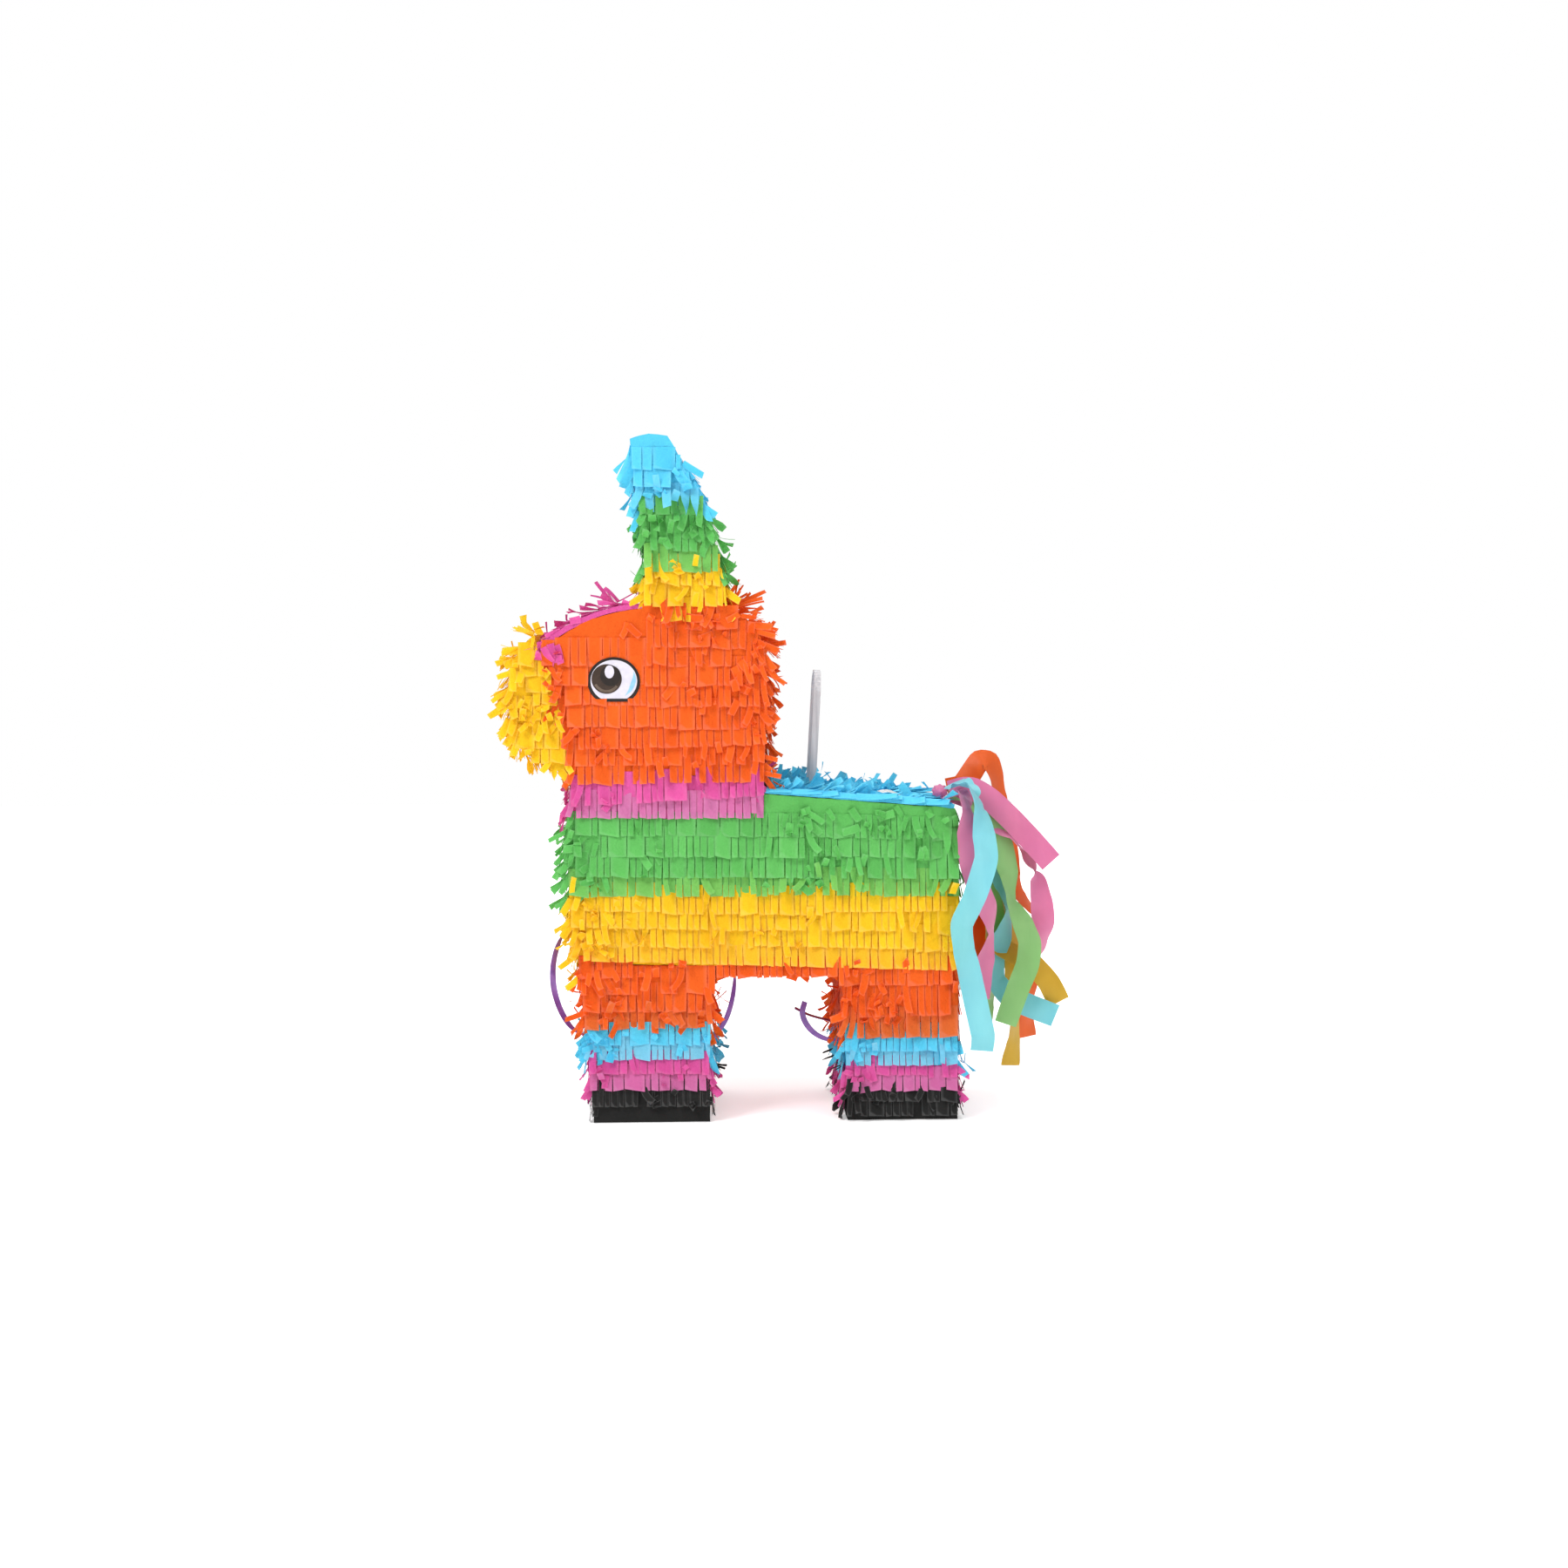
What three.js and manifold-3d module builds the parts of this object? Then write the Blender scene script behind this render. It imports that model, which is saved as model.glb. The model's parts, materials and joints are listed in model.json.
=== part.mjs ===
// A donkey pinata. Two card side panels are held apart by card edge strips, and the hollow
// body is wrapped in bands of cut tissue paper. It has a fill door in its back, a strap to
// hang it by, and a tail of ribbons.
// Millimetres, +Z up. The donkey faces -X, and its left side faces -Y.
// The origin is on the floor, under the middle of the donkey's box without its ribbons.

import * as THREE from "three";
import { mergeVertices } from "three/addons/utils/BufferGeometryUtils.js";
import Module from "manifold-3d";

// The donkey's outline over its paper: x from the front of the chest, z from the floor.
const bodyLength = 304;
const bodyThickness = 124;
const legHeight = 117;
const backHeight = 265;
const backFall = 12;
const neckWidth = 149;
const headHeight = 147;
const muzzleReach = 43;
const noseHeight = 110;
const chinHeight = 35;
const throatHeight = 12;
const earHeight = 130;
const earBaseFront = 54;
const earBaseWidth = 67;
const earTopFront = 45;
const earTopWidth = 29;
const frontLegWidth = 92;
const frontLegSetBack = 14;
const rearLegWidth = 88;
const archRadius = 15;

// Sheet and paper thicknesses, and the gaps between pieces that touch.
const card = 3;
const patchCard = 2;
const paperLayer = 2.5;
const muzzleFringe = 9;
const stickerCard = 1;
const gap = 0.3;

// Where one colour of paper gives way to the next, as heights above the floor.
const hoofTop = 26;
const frontSockTop = 50;
const rearSockTop = 44;
const frontStockingTop = 73;
const rearStockingTop = 70;
const saddleLow = legHeight + 11;
const saddleLowFall = 7;
const saddleTop = backHeight - 82;
const saddleTopFall = 3;
const collarDepth = 34;
const collarRise = 12;
const earYellowDepth = 28;
const earGreenDepth = 47;

// The fill door in the back, measured along the back from the neck.
const doorStart = 58;
const doorLength = 66;
const doorWidth = 82;
const doorEndClearance = 1;
const doorSideClearance = 0.8;
const labelLength = 22;
const labelWidth = 26;
const labelStart = 33;
const labelSide = 12;

// The hanger strap, its slots and the patch under them.
const strapPlace = 41;
const strapWidth = 5.5;
const strapSheet = 0.8;
const strapHeight = 97;
const strapSpread = 40;
const strapFoot = 8;
const strapLean = -1.6;
const strapFootClearance = 1.8;
const slotLength = 10.5;
const slotWidth = 2.4;
const patchLength = 26;
const patchWidth = 66;

// Eyes, tail and ribbons.
const eyeFromChest = 31.5;
const eyeBelowHeadTop = 61;
const eyeWidth = 41;
const eyeHeight = 38;
const eyeFlat = 3.2;
const knotOverhang = 2;
const knotLength = 13;
const knotWidth = 22;
const knotHeight = 11;
const tailRibbonWidth = 19;
const ribbonSheet = 0.8;
const curlRibbonWidth = 4.8;
const ribbonStep = 14;
const tailStartBack = 2.9;
const tailStartUp = 7;

// The half thickness and leg height that the ribbons' routes are given for.
const routeHalfWidth = 62;
const routeLegHeight = 117;

const wasm = await Module();
wasm.setup();

const soleGap = card + gap;
const paperDepth = paperLayer + gap;
const halfWidth = bodyThickness / 2;
const cardHalfWidth = halfWidth - paperDepth;
const insideHalfWidth = cardHalfWidth - card - gap;
const headTop = backHeight + headHeight;
const farAway = 400;

const point = (x, z) => new THREE.Vector2(x, z);

// The outline, clockwise as seen from -Y, in stretches that each take one card strip.
const chestLow = point(4, legHeight);
const neckFront = point(-2, backHeight + throatHeight);
const chin = point(14 - muzzleReach, backHeight + chinHeight);
const noseTip = point(12 - muzzleReach, backHeight + noseHeight);
const earFront = point(earBaseFront, headTop);
const earTopA = point(earTopFront, headTop + earHeight - 2);
const earTopB = point(earTopFront + earTopWidth, headTop + earHeight);
const earBack = point(earBaseFront + earBaseWidth, headTop - 4);
const neckBack = point(neckWidth, backHeight);
const rumpTop = point(bodyLength - 4, backHeight - backFall);
const rumpShoulder = point(bodyLength, rumpTop.y - 14);
const rearHeel = point(bodyLength, 0);
const rearToe = point(bodyLength - rearLegWidth, 0);
const rearKnee = point(rearToe.x - 4, legHeight - archRadius);
const bellyRear = point(rearKnee.x - archRadius, legHeight);
const frontHeel = point(frontLegSetBack + frontLegWidth, 0);
const frontKnee = point(frontHeel.x + 1, legHeight - archRadius);
const bellyFront = point(frontKnee.x + archRadius, legHeight);
const frontToe = point(frontLegSetBack, 0);

const line = (a, b) => ({ curve: new THREE.LineCurve(a, b), steps: 1 });
const bend = (a, control, b, steps) => ({
  curve: new THREE.QuadraticBezierCurve(a, control, b),
  steps,
});
const sweep = (a, controlA, controlB, b, steps) => ({
  curve: new THREE.CubicBezierCurve(a, controlA, controlB, b),
  steps,
});

const stretches = [
  { name: "front_leg_front_strip", parts: [line(frontToe, chestLow)] },
  {
    name: "chest_strip",
    parts: [bend(chestLow, point(-12, (legHeight + backHeight) / 2), neckFront, 8)],
  },
  {
    name: "throat_strip",
    parts: [bend(neckFront, point(-5, neckFront.y + 15), chin, 5)],
  },
  {
    name: "muzzle_strip",
    parts: [
      sweep(
        chin,
        point(-4 - muzzleReach, chin.y + 8),
        point(-3 - muzzleReach, noseTip.y - 14),
        noseTip,
        9,
      ),
    ],
  },
  {
    name: "nose_strip",
    parts: [bend(noseTip, point(6, headTop - 2), earFront, 9)],
  },
  {
    name: "ear_front_strip",
    parts: [
      sweep(
        earFront,
        point(earFront.x + 7, earFront.y + 0.33 * earHeight),
        point(earTopA.x + 1, earTopA.y - 0.35 * earHeight),
        earTopA,
        9,
      ),
    ],
  },
  {
    name: "ear_top_strip",
    parts: [bend(earTopA, point((earTopA.x + earTopB.x) / 2, earTopB.y + 4), earTopB, 4)],
  },
  {
    name: "ear_back_strip",
    parts: [
      sweep(
        earTopB,
        point(earTopB.x + 18, earTopB.y - 0.21 * earHeight),
        point(earBack.x - 6, earBack.y + 0.44 * earHeight),
        earBack,
        9,
      ),
    ],
  },
  {
    name: "nape_strip",
    parts: [
      sweep(
        earBack,
        point(neckWidth + 15, headTop - 16),
        point(neckWidth + 1, backHeight + headHeight / 2),
        neckBack,
        10,
      ),
    ],
  },
  { name: "back", parts: [line(neckBack, rumpTop)] },
  {
    name: "rump_strip",
    parts: [line(rumpTop, rumpShoulder), line(rumpShoulder, rearHeel)],
  },
  { name: "rear_foot", parts: [line(rearHeel, rearToe)] },
  {
    name: "rear_leg_front_strip",
    parts: [
      line(rearToe, rearKnee),
      bend(rearKnee, point(rearKnee.x - 1, legHeight - 1), bellyRear, 5),
    ],
  },
  { name: "belly_strip", parts: [line(bellyRear, bellyFront)] },
  {
    name: "front_leg_rear_strip",
    parts: [
      bend(bellyFront, point(frontKnee.x + 1, legHeight - 1), frontKnee, 5),
      line(frontKnee, frontHeel),
    ],
  },
  { name: "front_foot", parts: [line(frontHeel, frontToe)] },
];

// Each stretch notes where its points start and end in the whole outline.
const outline = [];
for (const stretch of stretches) {
  stretch.start = outline.length;
  for (const part of stretch.parts) {
    outline.push(...part.curve.getPoints(part.steps).slice(0, -1));
  }
  stretch.end = outline.length;
}

// The same outline with every edge moved inwards by a distance, or outwards if it is negative.
function inset(points, distance) {
  const turn = Math.sign(THREE.ShapeUtils.area(points));
  return points.map((corner, i) => {
    const before = points[(i + points.length - 1) % points.length];
    const after = points[(i + 1) % points.length];
    const arriving = corner.clone().sub(before).normalize();
    const leaving = after.clone().sub(corner).normalize();
    const mitre = point(-arriving.y - leaving.y, arriving.x + leaving.x);
    return corner.clone().addScaledVector(mitre, (2 * turn * distance) / mitre.lengthSq());
  });
}

// A closed geometry as a solid that can be cut and joined.
function solidOf(geometry) {
  const bare = geometry.index ? geometry.toNonIndexed() : geometry.clone();
  bare.deleteAttribute("normal");
  bare.deleteAttribute("uv");
  const merged = mergeVertices(bare, 1e-4);
  const vertProperties = merged.attributes.position.array;
  const triVerts = new Uint32Array(merged.index.array);
  return new wasm.Manifold(new wasm.Mesh({ numProp: 3, vertProperties, triVerts }));
}

// A flat outline in x and z, made thick along y.
function prism(points, yLow, yHigh) {
  const shape = new THREE.Shape(points);
  const settings = { depth: yHigh - yLow, bevelEnabled: false };
  const geometry = new THREE.ExtrudeGeometry(shape, settings);
  geometry.rotateX(Math.PI / 2);
  geometry.translate(0, yHigh, 0);
  return solidOf(geometry);
}

// A box from its lowest to its highest corner.
function block(low, high) {
  const [width, depth, height] = high.map((value, i) => value - low[i]);
  const geometry = new THREE.BoxGeometry(width, depth, height);
  geometry.translate(...high.map((value, i) => (value + low[i]) / 2));
  return solidOf(geometry);
}

// A solid as a named mesh with its own material.
function piece(name, solid, colour, roughness, group) {
  const mesh = solid.getMesh();
  const geometry = new THREE.BufferGeometry();
  geometry.setAttribute("position", new THREE.BufferAttribute(mesh.vertProperties, 3));
  geometry.setIndex(new THREE.BufferAttribute(mesh.triVerts, 1));
  geometry.computeVertexNormals();
  const material = new THREE.MeshStandardMaterial({ color: colour, roughness, metalness: 0 });
  const made = new THREE.Mesh(geometry, material);
  made.name = name;
  group.add(made);
}

const colours = {
  card: 0xb58f62,
  blue: 0x3cc4ee,
  green: 0x5bc163,
  yellow: 0xfbc920,
  orange: 0xff6b24,
  magenta: 0xe052a8,
  black: 0x2b2b2b,
  pink: 0xd9639f,
  purple: 0x7a4fa0,
  strap: 0xd9d9db,
  white: 0xf4f4f2,
};
const cardRoughness = 0.9;
const paperRoughness = 0.85;
const ribbonRoughness = 0.55;
const stickerRoughness = 0.35;
const strapRoughness = 0.3;

const donkey = new THREE.Group();

// Everything on the sloping back is made flat, with x along the back from the neck and z up
// from the paper, and then turned into place.
const backSlope = Math.atan2(backFall, rumpTop.x - neckBack.x);
const backLength = neckBack.distanceTo(rumpTop);
const onBack = new THREE.Group();
onBack.position.set(neckBack.x, 0, neckBack.y);
onBack.rotation.y = backSlope;
donkey.add(onBack);
const backTurn = (backSlope * 180) / Math.PI;
const toDonkey = (solid) =>
  solid.rotate([0, backTurn, 0]).translate([neckBack.x, 0, neckBack.y]);
const backFloor = -(paperDepth + card);

// What the side panels and strips leave free for the back strip and the two soles.
const backRoom = toDonkey(
  block([-2 * paperDepth, -farAway, backFloor - gap], [farAway, farAway, farAway]),
);
const neckLine = neckBack.x - paperDepth + gap;
const neckRoom = block([-farAway, -farAway, 0], [neckLine, farAway, farAway]);
const backZone = backRoom.subtract(neckRoom);
const soleZone = block([-farAway, -farAway, -card], [farAway, farAway, soleGap]);
const clearOfSheets = (solid) => solid.subtract(backZone).subtract(soleZone);

function sidePanels() {
  const cardOutline = inset(outline, paperDepth);
  const outer = cardHalfWidth;
  const inner = cardHalfWidth - card;
  const left = clearOfSheets(prism(cardOutline, -outer, -inner));
  const right = clearOfSheets(prism(cardOutline, inner, outer));
  piece("left_side_panel", left, colours.card, cardRoughness, donkey);
  piece("right_side_panel", right, colours.card, cardRoughness, donkey);
}

// Card strips between the panels, one along each stretch of the outline.
function edgeStrips() {
  const outside = inset(outline, paperDepth);
  const inside = inset(outline, paperDepth + card);
  const skipped = ["back", "rear_foot", "front_foot"];
  for (const stretch of stretches) {
    if (skipped.includes(stretch.name)) continue;
    const along = (points) =>
      [...points, points[0]].slice(stretch.start, stretch.end + 1).map((p) => p.clone());
    const outerEdge = along(outside);
    const innerEdge = along(inside);
    const last = outerEdge.length - 1;
    const startShift = outerEdge[1].clone().sub(outerEdge[0]).setLength(0.75 * gap);
    const endShift = outerEdge[last - 1].clone().sub(outerEdge[last]).setLength(0.75 * gap);
    for (const edge of [outerEdge, innerEdge]) {
      edge[0].add(startShift);
      edge[last].add(endShift);
    }
    const ring = [...outerEdge, ...innerEdge.reverse()];
    const strip = clearOfSheets(prism(ring, -insideHalfWidth, insideHalfWidth));
    piece(stretch.name, strip, colours.card, cardRoughness, donkey);
  }
}

function soles() {
  const feet = [
    { name: "front_sole", front: frontToe.x, rear: frontHeel.x },
    { name: "rear_sole", front: rearToe.x, rear: rearHeel.x },
  ];
  for (const foot of feet) {
    const low = [foot.front + paperDepth, -cardHalfWidth, 0];
    const high = [foot.rear - paperDepth, cardHalfWidth, card];
    piece(foot.name, block(low, high), colours.card, cardRoughness, donkey);
  }
}

// The back strip lies over the panels' edges, with the fill opening and the strap's slots.
const doorEnd = doorStart + doorLength;
const doorOpening = block(
  [doorStart - doorEndClearance, -doorWidth / 2 - doorSideClearance, -farAway],
  [doorEnd + gap, doorWidth / 2 + doorSideClearance, farAway],
);
const slots = [-1, 1].map((side) =>
  block(
    [strapPlace - slotLength / 2, (side * strapSpread) / 2 - slotWidth / 2, -farAway],
    [strapPlace + slotLength / 2, (side * strapSpread) / 2 + slotWidth / 2, farAway],
  ),
);
const withSlots = (solid) => slots.reduce((cut, slot) => cut.subtract(slot), solid);

function backSheets() {
  const start = 2 * gap;
  const paper = block([start, -halfWidth, -paperLayer], [backLength, halfWidth, 0]);
  const strip = block(
    [start, -cardHalfWidth, backFloor],
    [backLength - paperDepth, cardHalfWidth, -paperDepth],
  );
  const patchTop = backFloor - gap;
  const patch = block(
    [strapPlace - patchLength / 2, -patchWidth / 2, patchTop - patchCard],
    [strapPlace + patchLength / 2, patchWidth / 2, patchTop],
  );
  const openPaper = withSlots(paper.subtract(doorOpening));
  const openStrip = withSlots(strip.subtract(doorOpening));
  piece("back_blue_paper", openPaper, colours.blue, paperRoughness, onBack);
  piece("back_strip", openStrip, colours.card, cardRoughness, onBack);
  piece("hanger_patch", withSlots(patch), colours.card, cardRoughness, onBack);
}

// The flap that closes the fill opening, its paper and the small label on it.
function fillDoor() {
  const flap = block([doorStart, -doorWidth / 2, backFloor], [doorEnd, doorWidth / 2, -paperDepth]);
  const paper = block([doorStart, -doorWidth / 2, -paperLayer], [doorEnd, doorWidth / 2, 0]);
  const labelLow = [doorStart + labelStart, -labelSide - labelWidth, gap];
  const labelHigh = [doorStart + labelStart + labelLength, -labelSide, gap + ribbonSheet];
  piece("fill_door", flap, colours.card, cardRoughness, onBack);
  piece("door_blue_paper", paper, colours.blue, paperRoughness, onBack);
  piece("back_label", block(labelLow, labelHigh), colours.white, stickerRoughness, onBack);
}

// A strip bent into a tall loop, with its ends turned out under the patch.
function hangerStrap() {
  const halfSpread = strapSpread / 2;
  const footTop = backFloor - gap - patchCard - strapFootClearance;
  const archCentre = strapHeight - halfSpread - strapSheet / 2;
  const shape = new THREE.Shape();
  const outerLeg = halfSpread + strapSheet / 2;
  const innerLeg = halfSpread - strapSheet / 2;
  shape.moveTo(outerLeg, archCentre);
  shape.absarc(0, archCentre, outerLeg, 0, Math.PI, false);
  shape.lineTo(-outerLeg, footTop);
  shape.lineTo(-outerLeg - strapFoot, footTop);
  shape.lineTo(-outerLeg - strapFoot, footTop - strapSheet);
  shape.lineTo(-innerLeg, footTop - strapSheet);
  shape.lineTo(-innerLeg, archCentre);
  shape.absarc(0, archCentre, innerLeg, Math.PI, 0, true);
  shape.lineTo(innerLeg, footTop - strapSheet);
  shape.lineTo(outerLeg + strapFoot, footTop - strapSheet);
  shape.lineTo(outerLeg + strapFoot, footTop);
  shape.lineTo(outerLeg, footTop);
  const settings = { depth: strapWidth, bevelEnabled: false, curveSegments: 20 };
  const geometry = new THREE.ExtrudeGeometry(shape, settings);
  geometry.rotateX(Math.PI / 2);
  geometry.rotateZ(Math.PI / 2);
  geometry.translate(-strapWidth / 2, 0, 0);
  const pivotHeight = backFloor / 2;
  geometry.translate(0, 0, -pivotHeight);
  geometry.rotateY((strapLean * Math.PI) / 180);
  geometry.translate(strapPlace, 0, pivotHeight);
  piece("hanger_strap", solidOf(geometry), colours.strap, strapRoughness, onBack);
}

// The paper is one skin round the whole donkey, cut into bands of colour. The muzzle's band
// stands out further, because its fringe is bushy.
const paperInside = prism(
  inset(outline, paperLayer),
  -halfWidth + paperLayer,
  halfWidth - paperLayer,
);
const skin = prism(outline, -halfWidth, halfWidth).subtract(paperInside);
const farFront = -farAway;
const farRear = 2 * farAway;
const throughout = (points) => prism(points, -farAway, farAway);
const cover = (name, colour, solid) => piece(name, solid, colour, paperRoughness, donkey);

// A band between two x places. Each edge is a height at the chest and a fall to the rump.
function band(xLow, xHigh, low, high) {
  const at = (edge, x, shift) => point(x, edge.height - (edge.fall * x) / bodyLength + shift);
  return throughout([
    at(low, xLow + gap / 2, gap / 2),
    at(low, xHigh - gap / 2, gap / 2),
    at(high, xHigh - gap / 2, -gap / 2),
    at(high, xLow + gap / 2, -gap / 2),
  ]);
}
const level = (height) => ({ height, fall: 0 });

function earPaper() {
  const yellowTop = headTop + earYellowDepth;
  const greenTop = yellowTop + earGreenDepth;
  const blue = band(0, farRear, level(greenTop), level(greenTop + farAway));
  const green = band(0, farRear, level(yellowTop), level(greenTop));
  const yellow = band(earBaseFront, farRear, level(headTop), level(yellowTop));
  cover("ear_blue_paper", colours.blue, skin.intersect(blue));
  cover("ear_green_paper", colours.green, skin.intersect(green));
  cover("ear_yellow_paper", colours.yellow, skin.intersect(yellow));
}

function headPaper() {
  const cheek = [
    point(noseTip.x + 1, noseTip.y + 12),
    point(noseTip.x + 4, noseTip.y - 6),
    point(noseTip.x + 12, noseTip.y - 18),
    point(noseTip.x + 18, noseTip.y - 34),
    point(noseTip.x + 19, noseTip.y - 50),
    point(neckFront.x - 2, neckFront.y + 10),
    point(neckFront.x - 2, neckFront.y + 4),
  ];
  const muzzle = [point(farFront, cheek[0].y), ...cheek, point(farFront, cheek.at(-1).y)];
  const noseStretch = stretches.find((stretch) => stretch.name === "nose_strip");
  const noseDepth = 1.6 * paperLayer;
  const bridge = inset(outline, noseDepth).slice(noseStretch.start, noseStretch.end);
  const nose = [
    point(farFront, bridge[0].y),
    ...bridge,
    point(earBaseFront, headTop - noseDepth),
    point(earBaseFront, headTop + noseDepth),
    point(farFront, headTop + noseDepth),
  ];
  const bushy = prism(inset(outline, -muzzleFringe), -halfWidth, halfWidth);
  const muzzlePaper = bushy.subtract(paperInside).intersect(throughout(muzzle));
  const afterMuzzle = throughout(inset(muzzle, -gap));
  const afterNose = throughout(inset(nose, -gap));
  const head = band(-neckWidth, farRear, level(backHeight + collarRise), level(headTop));
  const nosePaper = skin.intersect(throughout(nose)).subtract(afterMuzzle);
  const orangePaper = skin.intersect(head).subtract(afterMuzzle).subtract(afterNose);
  cover("muzzle_yellow_paper", colours.yellow, muzzlePaper);
  cover("nose_magenta_paper", colours.magenta, nosePaper);
  cover("head_orange_paper", colours.orange, orangePaper);
}

// The collar goes all round the neck above the back, and only round its front below.
function collarPaper() {
  const low = level(backHeight + collarRise - collarDepth);
  const high = level(backHeight + collarRise);
  const front = band(farFront, neckBack.x, low, high);
  const behind = band(neckBack.x - 1, farRear, level(backHeight), high);
  cover("collar_magenta_paper", colours.magenta, skin.intersect(front.add(behind)));
}

function bodyPaper() {
  const saddleLowEdge = { height: saddleLow, fall: saddleLowFall };
  const saddleTopEdge = { height: saddleTop, fall: saddleTopFall };
  const collarLow = level(backHeight + collarRise - collarDepth);
  const saddle = band(farFront, farRear, saddleLowEdge, saddleTopEdge);
  const shoulder = band(farFront, farRear, saddleTopEdge, collarLow);
  const flank = band(neckBack.x, farRear, saddleTopEdge, level(backHeight));
  const green = skin.intersect(shoulder.add(flank));
  const underBackPaper = toDonkey(
    block([-farAway, -farAway, -paperDepth], [farAway, farAway, farAway]),
  ).subtract(block([-farAway, -farAway, 0], [neckBack.x, farAway, farAway]));
  cover("body_green_paper", colours.green, green.subtract(underBackPaper));
  cover("body_yellow_paper", colours.yellow, skin.intersect(saddle));
}

function legPaper() {
  const saddleLowEdge = { height: saddleLow, fall: saddleLowFall };
  const frontEnd = frontKnee.x + 4;
  const rearStart = rearKnee.x - 4;
  const belly = band(frontEnd, rearStart, level(legHeight - 2 * archRadius), saddleLowEdge);
  cover("belly_orange_paper", colours.orange, skin.intersect(belly));
  const legs = [
    { name: "front_leg", x: [farFront, frontEnd], stocking: frontStockingTop, sock: frontSockTop },
    { name: "rear_leg", x: [rearStart, farRear], stocking: rearStockingTop, sock: rearSockTop },
  ];
  for (const { name, x, stocking, sock } of legs) {
    const orange = band(...x, level(stocking), saddleLowEdge);
    const blue = band(...x, level(sock), level(stocking));
    const magenta = band(...x, level(hoofTop), level(sock));
    const black = band(...x, level(soleGap), level(hoofTop));
    cover(name + "_orange_paper", colours.orange, skin.intersect(orange));
    cover(name + "_blue_paper", colours.blue, skin.intersect(blue));
    cover(name + "_magenta_paper", colours.magenta, skin.intersect(magenta));
    cover(name + "_black_paper", colours.black, skin.intersect(black));
  }
}

// A printed card eye on each side: an oval with a flat lower edge.
function eyes() {
  const centre = point(eyeFromChest, headTop - eyeBelowHeadTop);
  const cut = Math.asin(1 - (2 * eyeFlat) / eyeHeight);
  const oval = new THREE.EllipseCurve(
    centre.x,
    centre.y,
    eyeWidth / 2,
    eyeHeight / 2,
    -cut,
    Math.PI + cut,
  );
  const rim = oval.getPoints(32);
  const near = halfWidth + gap;
  const far = near + stickerCard;
  piece("left_eye", prism(rim, -far, -near), colours.white, stickerRoughness, donkey);
  piece("right_eye", prism(rim, near, far), colours.white, stickerRoughness, donkey);
}

// The ribbons are bound together in a knot at the rear end of the back.
function tailKnot() {
  const knotRear = backLength + knotOverhang;
  const section = new THREE.Shape();
  section.absellipse(0, 0, knotLength / 2, knotHeight / 2, 0, 2 * Math.PI, false);
  const settings = { depth: knotWidth, bevelEnabled: false, curveSegments: 10 };
  const geometry = new THREE.ExtrudeGeometry(section, settings);
  geometry.rotateX(Math.PI / 2);
  geometry.translate(knotRear - knotLength / 2, knotWidth / 2, knotHeight / 2 + gap);
  piece("tail_knot", solidOf(geometry), colours.pink, ribbonRoughness, onBack);
}

// A flat ribbon along a smooth route through its points. Its width lies across the route,
// or along y where it runs sideways.
function ribbon({ name, colour, width, sideways, points }) {
  const route = new THREE.CatmullRomCurve3(points.map((p) => new THREE.Vector3(...p)));
  const steps = Math.ceil(route.getLength() / ribbonStep);
  const halfX = (sideways ? width : ribbonSheet) / 2;
  const halfY = (sideways ? ribbonSheet : width) / 2;
  const section = new THREE.Shape([
    point(-halfX, -halfY),
    point(halfX, -halfY),
    point(halfX, halfY),
    point(-halfX, halfY),
  ]);
  const geometry = new THREE.ExtrudeGeometry(section, { steps, extrudePath: route });
  piece(name, solidOf(geometry), colour, ribbonRoughness, donkey);
}

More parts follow.
